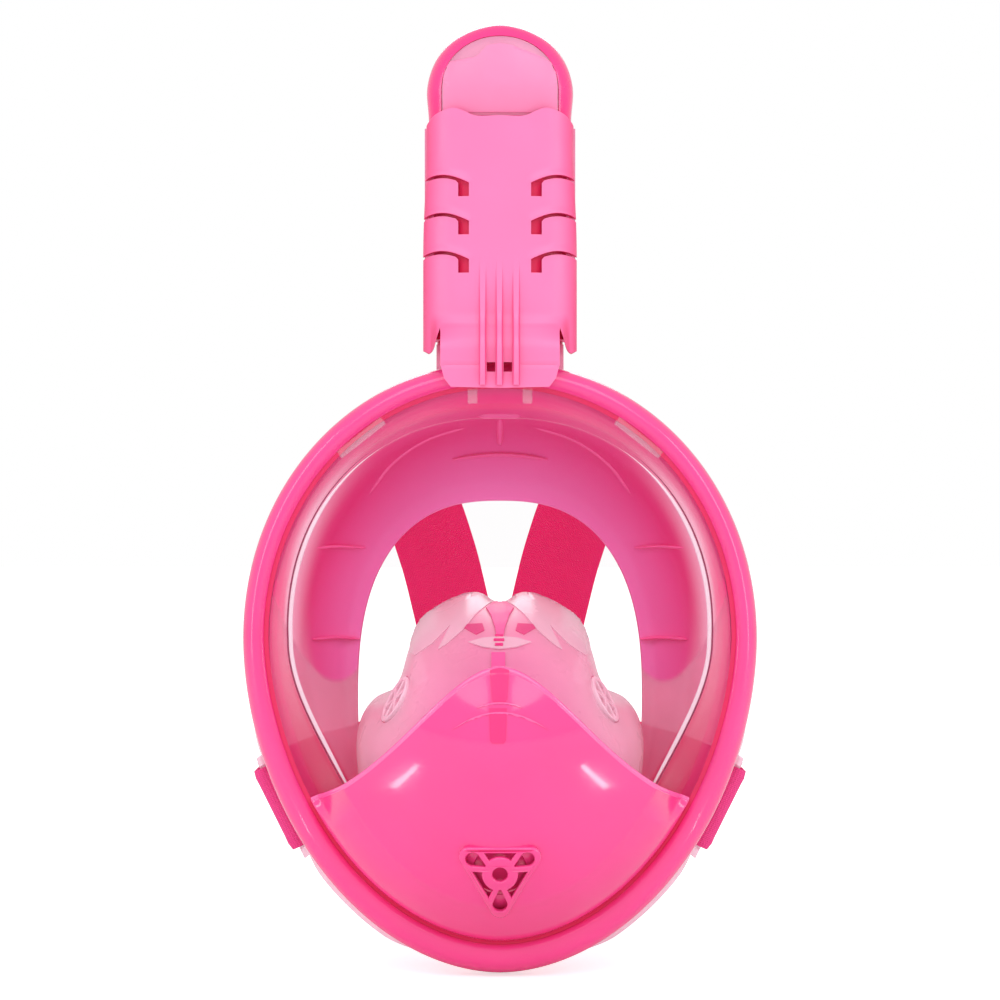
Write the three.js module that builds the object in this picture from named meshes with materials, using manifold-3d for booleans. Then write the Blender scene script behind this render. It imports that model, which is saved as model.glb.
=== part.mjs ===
// A child's full face snorkel mask: a wide clear visor in a two-part frame, a silicone face skirt with a
// nose pocket, a drain valve at the chin, a folding snorkel with a float valve in its cap, and four head
// straps that meet at a pad.
//
// Millimetres. +X is to the right as seen from the front, +Y points back towards the wearer, +Z is up.
// The origin is on the eye line, in the middle of the mask, on the plane that the face skirt's lip touches.

import * as THREE from "three";
import { mergeVertices } from "three/addons/utils/BufferGeometryUtils.js";
import Module from "manifold-3d";

const wasm = await Module();
wasm.setup();

// ---- Driving dimensions ----

// The frame's outline, seen from the front: an egg that is narrower at the chin.
const HALF_WIDTH = 87.2;
const RISE = 93.3; // eye line to the frame's top
const DROP = 112; // eye line to the frame's bottom
const UPPER_POWER = 2.03; // superellipse powers, above and below the eye line
const LOWER_POWER = 1.9;

// The frame lies on a saddle that wraps round the face.
const FRAME_Y = -48;
const SIDE_WRAP = 14; // how far the frame's sides stand back
const END_WRAP = 4; // how far it stands back 100 mm above or below the eye line
const FRAME_BAND = 7.5; // width of the front frame's face
const CHIN_BAND = 2.5; // how much wider it is at the chin
const HOOK = 2.2; // thickness of the front frame's outer wall

// The rear frame's hoop, out from the frame's outline and back from its saddle.
const HOOP_INNER = -8.4;
const HOOP_FRONT = 4.4;
const HOOP_BACK = 9.4;

// The visor's front face, and the snout that the lower part bulges into.
const VISOR_Y = -76;
const VISOR_BEND = 20; // how far the face stands back 69 mm from the middle
const VISOR_BEND_AT = 69;
const VISOR_DROOP = 0.0024;
const WALL = 2;
const FACE_CENTRE_Z = -12; // where the rows of the visor's face meet
const SNOUT = 12;
const SNOUT_HALF_WIDTH = 34;
const SNOUT_Z = -52;
const SNOUT_HALF_HEIGHT = 40;

// The chin cover's upper edge is a bell curve.
const BELL_TOP = -7;
const BELL_DROP = 53;
const BELL_WIDTH = 43;
const BELL_POWER = 1.82;
const COVER_ENDS = 222; // degrees round the frame to the cover's left corner
const COVER_GAP = 1.5; // from the visor to the chin cover
const COVER_WALL = 2; // the chin cover's and the snorkel cover's

// The chin valve, whose axis is square to the snout.
const VALVE_Z = -72.2;
const VALVE_HOLE = 11.5; // through the visor
const COVER_HOLE = 8.6; // through the chin cover, hidden by the grille
const PURGE_SEAT_RADIUS = 10.8;
const PURGE_FLAP_RADIUS = 8.2;
const GRILLE_REACH = 11.9; // middle of the grille to its rounded corners' centres
const GRILLE_CORNER = 3.2;
const GRILLE_FIT = [1, 1.1, 1]; // the equal-sided grille is stretched down the snout's slope
const GRILLE_HUB = 5.9;
const DROP_REACH = 10.2; // middle of the grille to the round ends of its drop holes
const DROP_RADIUS = 2.3;
const DROP_TIP = 5.3;
const SIDE_SLOT_REACH = 7.2;
const SIDE_SLOT_HALF = 5;

// The opening that the face goes into.
const OPENING_Z = -22;
const OPENING_HALF_WIDTH = 50;
const OPENING_RISE = 69;
const OPENING_DROP = 62;
const OPENING_POWER = 2.5;
const SKIRT_RIM = HOOP_INNER - 0.6;
const SKIRT_NECK = 3.4; // from the skirt's rim in to the middle of its neck

// The nose pocket and its two inhale valves.
const POCKET_WALL = 1.4;
const POCKET_SWELL = 5; // how far its middle stands out from a straight line between its two edges
const POCKET_ROWS = 5;
const POCKET_COLUMNS = 30;
const INHALE_ROW = 2; // where the valves sit in the pocket's grid
const INHALE_COLUMNS_OUT = 7;
const INHALE_RADIUS = 8.5;

// The snorkel.
const TUBE_HALF_WIDTH = 25;
const TUBE_FRONT = -50;
const TUBE_MIDDLE = -33;
const TUBE_BACK = -17;
const TUBE_BOTTOM = 101.2;
const TUBE_TOP = 173.2;
const CAP_BOTTOM = 173.6;
const CAP_TOP = 207.4;
const SOCKET_TOP = 99.6;
const TUBE_WALL = 1.6;
const FRONT_POWER = 2.6; // superellipse powers of the tube's front and back halves
const BACK_POWER = 4;
const SOCKET_INSET = 3.4; // from the tube's outline in to the socket's
const SOCKET_BOTTOM = 84;
const CHANNEL_WALL_X = 8;

// The front cover's tongue, side fingers, slots and ribs.
const TONGUE_HALF_WIDTH = 19.8;
const TONGUE_BOTTOM = 84;
const TONGUE_START = 110; // where the tongue starts to stand forward of the cover
const TONGUE_FLAT = 97; // and where it lies flat over the frame
const TONGUE_Y = -55;
const FINGER_BOTTOM = 97;
const SLOTS_Z = [152.2, 139.4, 126.6];
const SLOT_INNER = 10.4;
const SLOT_HEIGHT = 1.6;
const SLOT_WINDOW = 3.6;
const RIBS_X = [-7.8, -2.2, 3.4];
const RIB_WIDTH = 2.4;
// A rib's heights, and how far it stands out at each.
const RIB_LINE = [[125, 0.2], [101, 2], [90, 2.6], [TONGUE_BOTTOM + 0.6, 1.6]];

// The hinge that the snorkel folds back on.
const PIVOT = { y: -12, z: 102 };
const KNUCKLE_RADIUS = 3;
const KNUCKLE_HALF = 13.6;
const LUG = 4;
const PIN_RADIUS = 1.5;
const PIN_CLEARANCE = 0.3;

// The cap, its window and the float valve inside it.
const CAP_WAIST = 0.965; // the cap's width at its foot, as a share of the tube's
const CAP_HALF_DEPTH = 15.6;
const CAP_SHOULDER = 182;
const CAP_ROUNDING = 2.2;
const CAP_WALL = 1.8;
const INLETS_X = [-12, -4, 4, 12];
const WINDOW_HALF = 19.6;
const WINDOW_SHOULDER = 184;
const FLOOR_LOW = 174.2;
const FLOAT_BASE = 176.6;
const FLOAT_TOP = 185;
const SEAT_LOW = 191.2;

// The head strap.
const STRAP_WIDTH = 30;
const STRAP_THICK = 1.6;
const EAR = 3; // thickness of the ears that hold a strap bar
const UPPER_ANCHOR = 52; // degrees above the eye line
const LOWER_ANCHOR = -38;
const BAR_RADIUS = 2;
const BAR_DEPTH = 17; // from the frame's saddle back to the strap bars
const UPPER_BAR_OUT = -5; // the upper bars are hidden behind the frame
const LOWER_BAR_OUT = 1.9;
const LOOP_LENGTH = 14;
const STRAIGHT = 46; // how far a strap runs straight back from its lower loop
const SLIDER_LENGTH = 12;

// The pad behind the head, which four straps are sewn to.
const PAD_Y = 124;
const PAD_BEND = 180; // it stands forward by x squared over this
const PAD_THICK = 3;
const PAD_HALF = 34;
const PAD_BOTTOM = -52;
const PAD_WAIST = 0.16; // how much narrower it is below its upper edge

const GAP = 0.4; // left between neighbouring pieces
const DEG = Math.PI / 180;

const COLOURS = {
  pink: { color: 0xff5aa4, roughness: 0.25, metalness: 0 },
  clear: { color: 0xf2eef4, roughness: 0.08, metalness: 0 },
  skirt: { color: 0xd93a80, roughness: 0.5, metalness: 0 },
  pocket: { color: 0xf59cc4, roughness: 0.4, metalness: 0 },
  valve: { color: 0xfbe3ee, roughness: 0.45, metalness: 0 },
  webbing: { color: 0xd92468, roughness: 0.85, metalness: 0 },
  steel: { color: 0xc8ccd0, roughness: 0.3, metalness: 1 },
};

// ---- Solids ----

const vec = (x, y, z) => new THREE.Vector3(x, y, z);
const mix = THREE.MathUtils.lerp;
const smooth = THREE.MathUtils.smoothstep;
const range = (count) => Array.from({ length: count }, (_, i) => i);
const steps = (low, high, count) => range(count + 1).map((i) => mix(low, high, i / count));

function signedVolume(points, triangles) {
  const cross = vec(0, 0, 0);
  let sum = 0;
  for (const [a, b, c] of triangles) sum += points[a].dot(cross.crossVectors(points[b], points[c]));
  return sum / 6;
}

// A closed solid from points and four-cornered faces. Corners that meet are merged.
function facesToSolid(points, quads) {
  const known = new Map();
  const merged = [];
  const index = points.map((p) => {
    const key = p.toArray().map((n) => Math.round(n * 1e4)).join();
    if (!known.has(key)) {
      known.set(key, merged.length);
      merged.push(p);
    }
    return known.get(key);
  });
  const triangles = quads
    .flatMap(([a, b, c, d]) => [[a, b, c], [a, c, d]])
    .map((corners) => corners.map((i) => index[i]))
    .filter(([a, b, c]) => a !== b && b !== c && a !== c);
  if (signedVolume(merged, triangles) < 0) triangles.forEach((t) => t.reverse());
  return new wasm.Manifold(
    new wasm.Mesh({
      numProp: 3,
      vertProperties: new Float32Array(merged.flatMap((p) => p.toArray())),
      triVerts: new Uint32Array(triangles.flat()),
    }),
  );
}

// A shell between two grids of points, each grid a list of rows. With wrap, each row is a closed loop.
function shell(front, back, wrap) {
  const rows = front.length;
  const columns = front[0].length;
  const at = (side, r, c) => (side * rows + r) * columns + (c % columns);
  const quads = [];
  const across = wrap ? columns : columns - 1;
  const last = rows - 1;
  for (let c = 0; c < across; c++) {
    for (let r = 0; r < last; r++) {
      quads.push([at(0, r, c), at(0, r, c + 1), at(0, r + 1, c + 1), at(0, r + 1, c)]);
      quads.push([at(1, r, c), at(1, r + 1, c), at(1, r + 1, c + 1), at(1, r, c + 1)]);
    }
    quads.push([at(1, 0, c), at(1, 0, c + 1), at(0, 0, c + 1), at(0, 0, c)]);
    quads.push([at(0, last, c), at(0, last, c + 1), at(1, last, c + 1), at(1, last, c)]);
  }
  for (let r = 0; r < last && !wrap; r++) {
    const c = columns - 1;
    quads.push([at(0, r, 0), at(0, r + 1, 0), at(1, r + 1, 0), at(1, r, 0)]);
    quads.push([at(0, r + 1, c), at(0, r, c), at(1, r, c), at(1, r + 1, c)]);
  }
  return facesToSolid([...front.flat(), ...back.flat()], quads);
}

// A ring, from closed sections that follow each other round a loop.
function ring(sections) {
  const n = sections[0].length;
  const count = sections.length;
  const at = (s, i) => (s % count) * n + (i % n);
  const quads = range(count).flatMap((s) =>
    range(n).map((i) => [at(s, i), at(s, i + 1), at(s + 1, i + 1), at(s + 1, i)]),
  );
  return facesToSolid(sections.flat(), quads);
}

// A bar, from convex four-cornered sections that follow each other along a path.
function bar(sections) {
  const at = (s, i) => s * 4 + (i % 4);
  const last = sections.length - 1;
  const sides = range(last).flatMap((s) =>
    range(4).map((i) => [at(s, i), at(s + 1, i), at(s + 1, i + 1), at(s, i + 1)]),
  );
  const ends = [[0, 1, 2, 3], [3, 2, 1, 0].map((i) => last * 4 + i)];
  return facesToSolid(sections.flat(), [...sides, ...ends]);
}

function geometryToSolid(geometry) {
  const bare = geometry.index ? geometry.toNonIndexed() : geometry.clone();
  bare.deleteAttribute("normal");
  bare.deleteAttribute("uv");
  const merged = mergeVertices(bare, 1e-3);
  const corners = Array.from(merged.index.array);
  const whole = range(corners.length / 3)
    .map((t) => corners.slice(t * 3, t * 3 + 3))
    .filter(([a, b, c]) => a !== b && b !== c && a !== c);
  return new wasm.Manifold(
    new wasm.Mesh({
      numProp: 3,
      vertProperties: merged.attributes.position.array,
      triVerts: new Uint32Array(whole.flat()),
    }),
  );
}

function box(low, high) {
  const size = low.map((v, i) => high[i] - v);
  const middle = low.map((v, i) => (v + high[i]) / 2);
  return geometryToSolid(new THREE.BoxGeometry(...size).translate(...middle));
}

// A cylinder from one point to another.
function rod(from, to, radius, sides = 20, endRadius = radius) {
  const along = to.clone().sub(from);
  const turn = new THREE.Quaternion().setFromUnitVectors(vec(0, 1, 0), along.clone().normalize());
  const made = new THREE.CylinderGeometry(endRadius, radius, along.length(), sides);
  const middle = from.clone().add(to).multiplyScalar(0.5);
  return geometryToSolid(made.applyQuaternion(turn).translate(...middle.toArray()));
}

function extruded(outline, bottom, top) {
  const settings = { depth: top - bottom, bevelEnabled: false };
  const made = new THREE.ExtrudeGeometry(new THREE.Shape(outline), settings);
  return geometryToSolid(made.translate(0, 0, bottom));
}

// A flat outline in X and Y, with holes, pushed up from one height to another.
const prism = (outline, bottom, top, holes = []) =>
  cut(
    extruded(outline, bottom, top),
    holes.map((hole) => extruded(hole, bottom - 1, top + 1)),
  );

// Puts a solid made about the Z axis at a place, with its Z axis along a direction and its X axis level.
function placed(solid, place, direction) {
  const z = direction.clone().normalize();
  const level = Math.abs(z.z) > 0.99 ? vec(1, 0, 0) : vec(0, 0, 1).cross(z).normalize();
  const frame = new THREE.Matrix4().makeBasis(level, z.clone().cross(level), z).setPosition(place);
  return solid.transform(frame.elements);
}

const join = (solids) => solids.reduce((all, next) => all.add(next));
const cut = (solid, tools) => tools.reduce((left, tool) => left.subtract(tool), solid);

const mask = new THREE.Group();

function piece(name, solid, colour) {
  const made = solid.getMesh();
  const geometry = new THREE.BufferGeometry();
  const points = Float32Array.from(made.vertProperties);
  geometry.setAttribute("position", new THREE.BufferAttribute(points, 3));
  geometry.setIndex(Array.from(made.triVerts));
  geometry.computeVertexNormals();
  const mesh = new THREE.Mesh(geometry, new THREE.MeshStandardMaterial(COLOURS[colour]));
  mesh.name = name;
  mask.add(mesh);
}

// ---- The frame's outline and saddle ----

const superRadius = (angle, a, b, power) =>
  (Math.abs(Math.cos(angle) / a) ** power + Math.abs(Math.sin(angle) / b) ** power) ** (-1 / power);

function frameRadius(angle) {
  const above = Math.sin(angle) > 0;
  return superRadius(angle, HALF_WIDTH, above ? RISE : DROP, above ? UPPER_POWER : LOWER_POWER);
}

const saddleY = (x, z) => FRAME_Y + SIDE_WRAP * (x / HALF_WIDTH) ** 2 + END_WRAP * (z / 100) ** 2;

// A point on the frame: out from its outline, and back from its saddle.
function framePoint(angle, out, back) {
  const r = frameRadius(angle) + out;
  const x = r * Math.cos(angle);
  const z = r * Math.sin(angle);
  return vec(x, saddleY(x, z) + back, z);
}

const bandWidth = (angle) => FRAME_BAND + CHIN_BAND * Math.max(0, -Math.sin(angle));
const inChin = (angle) => smooth(-Math.sin(angle), 0.45, 0.75);
const anglesRound = (count) => range(count).map((i) => (i / count) * 2 * Math.PI);

const frameRing = (count, section) =>
  ring(
    anglesRound(count).map((angle) => section(angle).map(([out, back]) => framePoint(angle, out, back))),
  );

const FRAME_STEPS = 56;
const SLOT = HOOK + GAP; // where what it holds begins

// The front frame: a rounded face, and an outer wall that hooks back over the visor, skirt and rear frame.
function frontFrame() {
  return frameRing(FRAME_STEPS, (angle) => {
    const w = bandWidth(angle);
    const outside = [[0, 6], [0, -2.5], [-1.2, -5], [-3.6, -6.5]];
    const inside = [[-w + 1.2, -5.8], [-w, -4.4], [-w, -2], [-HOOK, -2], [-HOOK, 6]];
    return [...outside, ...inside];
  });
}

// How far the rear frame shows past the front one: a little, low on each side.
function rearLip(angle) {
  const height = Math.sin(angle);
  return mix(-0.6, 2.6, smooth(-height, 0.1, 0.62) * smooth(height, -1, -0.93));
}

const anchorAngles = {
  upper_left: 180 - UPPER_ANCHOR,
  upper_right: UPPER_ANCHOR,
  lower_left: 180 - LOWER_ANCHOR,
  lower_right: LOWER_ANCHOR,
};

// The middle of a strap bar, and the direction that the bar runs in.
function anchor(name) {
  const angle = anchorAngles[name] * DEG;
  const place = framePoint(angle, name.startsWith("upper") ? UPPER_BAR_OUT : LOWER_BAR_OUT, BAR_DEPTH);
  const along = framePoint(angle + 0.05, 0, 0).sub(framePoint(angle - 0.05, 0, 0));
  return { place, along: along.setY(0).normalize() };
}

const BAR_HALF = STRAP_WIDTH / 2 + 0.8;

// A strap bar between two ears, which reach forward into the rear frame's hoop.
function strapBar(name) {
  const { place, along } = anchor(name);
  const out = vec(place.x, 0, place.z).normalize();
  const ears = [-1, 1].map((side) => {
    const corners = (p) =>
      [[2.4, 2.4], [-3.6, 2.4], [-3.6, null], [0.4, null]].map(([o, b]) => {
        const q = p.clone().addScaledVector(out, o);
        q.y = b === null ? saddleY(q.x, q.z) + HOOP_BACK - 1.4 : q.y + b;
        return q;
      });
    const near = place.clone().addScaledVector(along, side * BAR_HALF);
    const far = place.clone().addScaledVector(along, side * (BAR_HALF + EAR));
    return bar([corners(near), corners(far)]);
  });
  const ends = [-1, 1].map((side) => place.clone().addScaledVector(along, side * (BAR_HALF + EAR / 2)));
  return join([rod(ends[0], ends[1], BAR_RADIUS, 12), ...ears]);
}

function rearFrame() {
  const hoop = frameRing(FRAME_STEPS, (angle) => {
    const lip = rearLip(angle);
    return [
      [-SLOT, HOOP_FRONT],
      [HOOP_INNER, HOOP_FRONT],
      [HOOP_INNER, HOOP_BACK],
      [lip, HOOP_BACK],
      [lip, HOOP_FRONT + 2],
      [-SLOT, HOOP_FRONT + 2],
    ];
  });
  return join([hoop, ...Object.keys(anchorAngles).map(strapBar)]);
}

// ---- The visor and the chin cover ----

const snout = (x, z) =>
  SNOUT * Math.exp(-((x / SNOUT_HALF_WIDTH) ** 2)) * Math.exp(-(((z - SNOUT_Z) / SNOUT_HALF_HEIGHT) ** 4));

const faceY = (x, z) =>
  VISOR_Y + VISOR_BEND * (x / VISOR_BEND_AT) ** 2 + VISOR_DROOP * z * z - snout(x, z);

// Where the visor's side wall starts, and where it turns into the front face, in from the frame's outline.
const wallBase = (angle) => bandWidth(angle) + 2 + 2.8 * inChin(angle);
function wallTop(angle) {
  const height = Math.sin(angle);
  const [above, below] = [Math.max(0, height), Math.max(0, -height)];
  const shoulders = 3.6 * above * Math.abs(Math.cos(angle));
  return 16.4 + 2 * above ** 6 - shoulders + 8.1 * smooth(below, 0, 0.75);
}

const VISOR_STEPS = 48;
const FACE_ROWS = [1, 0.78, 0.54, 0.28, 0];

// The visor's surface, shrunk inwards and back by a wall thickness where inner is that thickness.
function visorRows(count, inner) {
  const angles = anglesRound(count);
  const back = inner - 1.6;
  const corner = (angle) => framePoint(angle, -wallTop(angle) - inner, 0);
  const face = angles.map((angle) => corner(angle));
  return [
    angles.map((angle) => framePoint(angle, -SLOT, back)),
    angles.map((angle) => framePoint(angle, -wallBase(angle) - inner, back)),
    ...FACE_ROWS.map((k) =>
      face.map((p) => {
        const x = p.x * k;
        const z = mix(FACE_CENTRE_Z, p.z, k);
        return vec(x, faceY(x, z) + inner, z);
      }),
    ),
  ];
}

// The chin valve's axis, square to the snout.
const valveAxis = (() => {
  const step = 0.5;
  const slope = (faceY(0, VALVE_Z + step) - faceY(0, VALVE_Z - step)) / (2 * step);
  return vec(0, -1, slope).normalize();
})();
const valvePlace = (forward) => vec(0, faceY(0, VALVE_Z), VALVE_Z).addScaledVector(valveAxis, forward);

function visor() {
  const solid = shell(visorRows(VISOR_STEPS, 0), visorRows(VISOR_STEPS, WALL), true);
  const hole = rod(valvePlace(-12), valvePlace(8), VALVE_HOLE, 28);
  return cut(solid, [hole]);
}

const bellZ = (x) =>
  BELL_TOP - BELL_DROP * (1 - Math.exp(-((Math.abs(x) / BELL_WIDTH) ** BELL_POWER)));

// The visor's outer surface at any point inside the frame, side wall included.
function visorY(x, z) {
  const angle = Math.atan2(z, x);
  const r = Math.hypot(x, z);
  const base = frameRadius(angle) - wallBase(angle);
  const top = frameRadius(angle) - wallTop(angle);
  if (r <= top) return faceY(x, z);
  const tx = top * Math.cos(angle);
  const tz = top * Math.sin(angle);
  const share = (r - top) / (base - top);
  return mix(faceY(tx, tz), saddleY(x, z) - 1.6, share);
}

// The same surface moved out by some distance: forwards, and away from the middle on the side wall.
function visorOffset(x, z, out) {
  const r = Math.hypot(x, z);
  const shrink = r > out ? (r - out) / r : 0;
  return Math.min(visorY(x, z), visorY(x * shrink, z * shrink)) - out;
}

const COVER_COLUMNS = 20;
const COVER_ROWS = 9;

function chinCover() {
  const edge = (angle) => framePoint(angle, -bandWidth(angle) - 1.4, 0);
  const leftCorner = edge(COVER_ENDS * DEG);
  const grid = (out) =>
    steps(0, 1, COVER_ROWS).map((v) =>
      steps(0, 1, COVER_COLUMNS).map((u) => {
        const angle = mix(COVER_ENDS, 540 - COVER_ENDS, u) * DEG;
        const low = edge(angle);
        const x = mix(leftCorner.x, -leftCorner.x, u);
        const px = mix(x, low.x, v);
        const pz = mix(bellZ(x), low.z, v);
        return vec(px, Math.min(visorOffset(px, pz, out), saddleY(px, pz) - 2 - out), pz);
      }),
    );
  const solid = shell(grid(COVER_GAP + COVER_WALL), grid(COVER_GAP), false);
  const hole = rod(valvePlace(-6), valvePlace(12), COVER_HOLE, 28);
  return cut(solid, [hole]);
}

// ---- The chin drain valve, from the outside in: grille, flap, seat ----

// A triangle with rounded corners, one corner down.
function triangleOutline(reach, corner) {
  return range(3).flatMap((k) => {
    const towards = -90 + k * 120;
    const [x, y] = [reach * Math.cos(towards * DEG), reach * Math.sin(towards * DEG)];
    return steps(towards - 60, towards + 60, 4).map(
      (a) => new THREE.Vector2(x + corner * Math.cos(a * DEG), y + corner * Math.sin(a * DEG)),
    );
  });
}

const circle = (radius, sides) =>
  range(sides).map((i) => {
    const a = (i / sides) * 2 * Math.PI;
    return new THREE.Vector2(radius * Math.cos(a), radius * Math.sin(a));
  });

// A water-drop hole, round towards the corner and pointed towards the middle.
function dropOutline(towards) {
  const polar = (reach, a) => new THREE.Vector2(reach * Math.cos(a * DEG), reach * Math.sin(a * DEG));
  const round = steps(towards - 110, towards + 110, 8).map((a) =>
    polar(DROP_REACH, towards).add(polar(DROP_RADIUS, a)),
  );
  return [...round, polar(DROP_TIP, towards)];
}

// A slot along one side of the triangle, bounded inwards by the middle ring.
function sideSlotOutline(towards) {
  const turned = (along, out) => {
    const a = towards * DEG;
    const [c, s] = [Math.cos(a), Math.sin(a)];
    return new THREE.Vector2(out * c - along * s, out * s + along * c);
  };
  const inner = steps(-36, 36, 6).map((a) =>
    turned(GRILLE_HUB * Math.sin(a * DEG), GRILLE_HUB * Math.cos(a * DEG)),
  );
  return [turned(SIDE_SLOT_HALF, SIDE_SLOT_REACH), turned(-SIDE_SLOT_HALF, SIDE_SLOT_REACH), ...inner];
}

function purgeGrille() {
  const ways = range(3);
  const holes = [
    circle(2.45, 16),
    ...ways.map((k) => dropOutline(-90 + k * 120)),
    ...ways.map((k) => sideSlotOutline(90 + k * 120)),
  ];
  const plate = prism(triangleOutline(GRILLE_REACH, GRILLE_CORNER), 0, 1.8, holes);
  return placed(plate.scale(GRILLE_FIT), valvePlace(COVER_GAP + COVER_WALL + 0.6), valveAxis);
}

// A round valve seat: a rim, a hub and spokes between them.
function valveSeat(radius, rim, height, hub, spokes) {
  const arms = range(spokes).map((k) => {
    const a = (k / spokes) * 360 + 90;
    const arm = box([hub * 0.6, -0.8, 0], [radius - rim / 2, 0.8, height * 0.7]);
    return arm.rotate(0, 0, a);
  });
  const rimSolid = prism(circle(radius, 28), 0, height, [circle(radius - rim, 28)]);
  return join([rimSolid, prism(circle(hub, 14), 0, height * 0.7), ...arms]);
}

// A silicone flap: a thin disc that covers its seat.
const flap = (radius, thick) => prism(circle(radius, 24), 0, thick);

function purgeParts() {
  const seat = placed(valveSeat(PURGE_SEAT_RADIUS, 3.4, 2.4, 2.6, 3), valvePlace(-3.2), valveAxis);
  const disc = placed(flap(PURGE_FLAP_RADIUS, 0.8), valvePlace(-0.4), valveAxis);
  return { seat, disc };
}

// ---- The face skirt ----

function openingPoint(angle) {
  const height = Math.sin(angle) > 0 ? OPENING_RISE : OPENING_DROP;
  const r = superRadius(angle, OPENING_HALF_WIDTH, height, OPENING_POWER);
  return vec(r * Math.cos(angle), 0, OPENING_Z + r * Math.sin(angle));
}

// The skirt's middle line in a section: share of the way from frame to opening, Y, and thickness.
const SKIRT_LINE = [[0.28, -20, 2], [0.45, -10, 2], [0.7, -4, 2], [0.88, -1.6, 1.8], [1, -2.4, 1.4]];

function skirtSection(angle) {
  const bead = framePoint(angle, -SLOT, 0);
  const rim = framePoint(angle, SKIRT_RIM, 0);
  const edge = openingPoint(angle);
  const run = Math.hypot(edge.x - rim.x, edge.z - rim.z);
  const at = (share, y) => vec(mix(rim.x, edge.x, share), y, mix(rim.z, edge.z, share));
  const neck = { share: SKIRT_NECK / run, y: rim.y + 5, thick: 2.4 };
  const middle = [neck, ...SKIRT_LINE.map(([share, y, thick]) => ({ share, y, thick }))];
  const side = (sign) =>
    middle.map((p, i) => {
      const a = middle[Math.max(0, i - 1)];
      const b = middle[Math.min(middle.length - 1, i + 1)];
      const along = new THREE.Vector2((b.share - a.share) * run, b.y - a.y).normalize();
      const half = (sign * p.thick) / 2;
      return at(p.share - (along.y * half) / run, p.y + along.x * half);
    });
  const front = side(-1);
  const back = side(1).reverse();
  return [
    vec(bead.x, bead.y + 0.8, bead.z),
    vec(rim.x, rim.y + 0.8, rim.z),
    ...front,
    ...back,
    vec(rim.x, rim.y + 4, rim.z),
    vec(bead.x, bead.y + 4, bead.z),
  ];
}

const faceSkirt = () => ring(anglesRound(48).map(skirtSection));

// ---- The nose pocket and its inhale valves ----

// The pocket is a saddle over the nose. Its front edge lies behind the chin cover's upper edge, and its
// rear edge rests on the nose and cheeks. Both run from low on one side, over the nose, to low on the other.
const POCKET_SIDE = [
  [39, -9, -66],
  [46, -8.5, -46],
  [47.5, -8, -28],
  [43.5, -8, -22],
  [35, -8.5, -17.5],
  [31, -9, -10],
  [30.5, -9.5, -3],
  [28, -10, 5],
  [17, -11.5, 12.5],
  [8, -13, 15],
];
const POCKET_REAR = new THREE.CatmullRomCurve3([
  ...POCKET_SIDE.map(([x, y, z]) => vec(-x, y, z)),
  vec(0, -16, 11.5),
  ...POCKET_SIDE.map(([x, y, z]) => vec(x, y, z)).reverse(),
]);

function pocketFront(u) {
  const share = 2 * u - 1;
  const low = smooth(Math.abs(share), 0.55, 1);
  const x = mix(46, 36, low) * Math.sin((share * Math.PI) / 2);
  const z = mix(bellZ(x * 0.98) - 3, -68, low);
  return vec(x, visorOffset(x, z, 0) + WALL + 2.5, z);
}

function pocketGrid(back) {
  return steps(0, 1, POCKET_ROWS).map((v) =>
    steps(0, 1, POCKET_COLUMNS).map((u) => {
      const front = pocketFront(u);
      const rear = POCKET_REAR.getPoint(u);
      const p = front.clone().lerp(rear, v);
      const swell = 4 * v * (1 - v);
      const away = vec(p.x, 0, p.z + 45).normalize();
      return p.addScaledVector(away, POCKET_SWELL * swell - back);
    }),
  );
}

// The middle of an inhale valve, and its axis, which points up and out of the pocket.
function inhaleFrame(side) {
  const rows = pocketGrid(0);
  const row = INHALE_ROW;
  const column = POCKET_COLUMNS / 2 + side * INHALE_COLUMNS_OUT;
  const place = rows[row][column];
  const across = rows[row][column + 1].clone().sub(rows[row][column - 1]);
  const along = rows[row + 1][column].clone().sub(rows[row - 1][column]);
  const axis = across.cross(along).normalize();
  if (axis.z < 0) axis.negate();
  return { place, axis };
}

function nosePocket() {
  const holes = [-1, 1].map((side) => {
    const { place, axis } = inhaleFrame(side);
    return rod(
      place.clone().addScaledVector(axis, -6),
      place.clone().addScaledVector(axis, 6),
      INHALE_RADIUS + GAP,
      24,
    );
  });
  return cut(shell(pocketGrid(0), pocketGrid(POCKET_WALL), false), holes);
}

function inhaleParts(side) {
  const { place, axis } = inhaleFrame(side);
  const seatPlace = place.clone().addScaledVector(axis, -1.2);
  const flapPlace = place.clone().addScaledVector(axis, -2.6);
  return {
    seat: placed(valveSeat(INHALE_RADIUS, 1.5, 2, 2, 3), seatPlace, axis),
    disc: placed(flap(INHALE_RADIUS - 1, 0.7), flapPlace, axis),
  };
}

// ---- The snorkel ----

// Half of an oval about the tube's middle, flatter at higher powers.
const halfOval = (from, to, width, depth, power) =>
  steps(from, to, 12).map((a) => {
    const c = Math.cos(a * DEG);
    const s = Math.sin(a * DEG);
    const x = Math.sign(c) * width * Math.abs(c) ** (2 / power);
    return new THREE.Vector2(x, TUBE_MIDDLE + Math.sign(s) * depth * Math.abs(s) ** (2 / power));
  });

// The socket's and the gasket's section.
function socketOutline(shrink) {
  const inset = SOCKET_INSET + shrink;
  const width = TUBE_HALF_WIDTH - inset;
  return [
    ...halfOval(180, 360, width, TUBE_MIDDLE - TUBE_FRONT - inset, FRONT_POWER),
    ...halfOval(0, 180, width, TUBE_BACK - TUBE_MIDDLE - inset, BACK_POWER).slice(1, -1),
  ];
}

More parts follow.
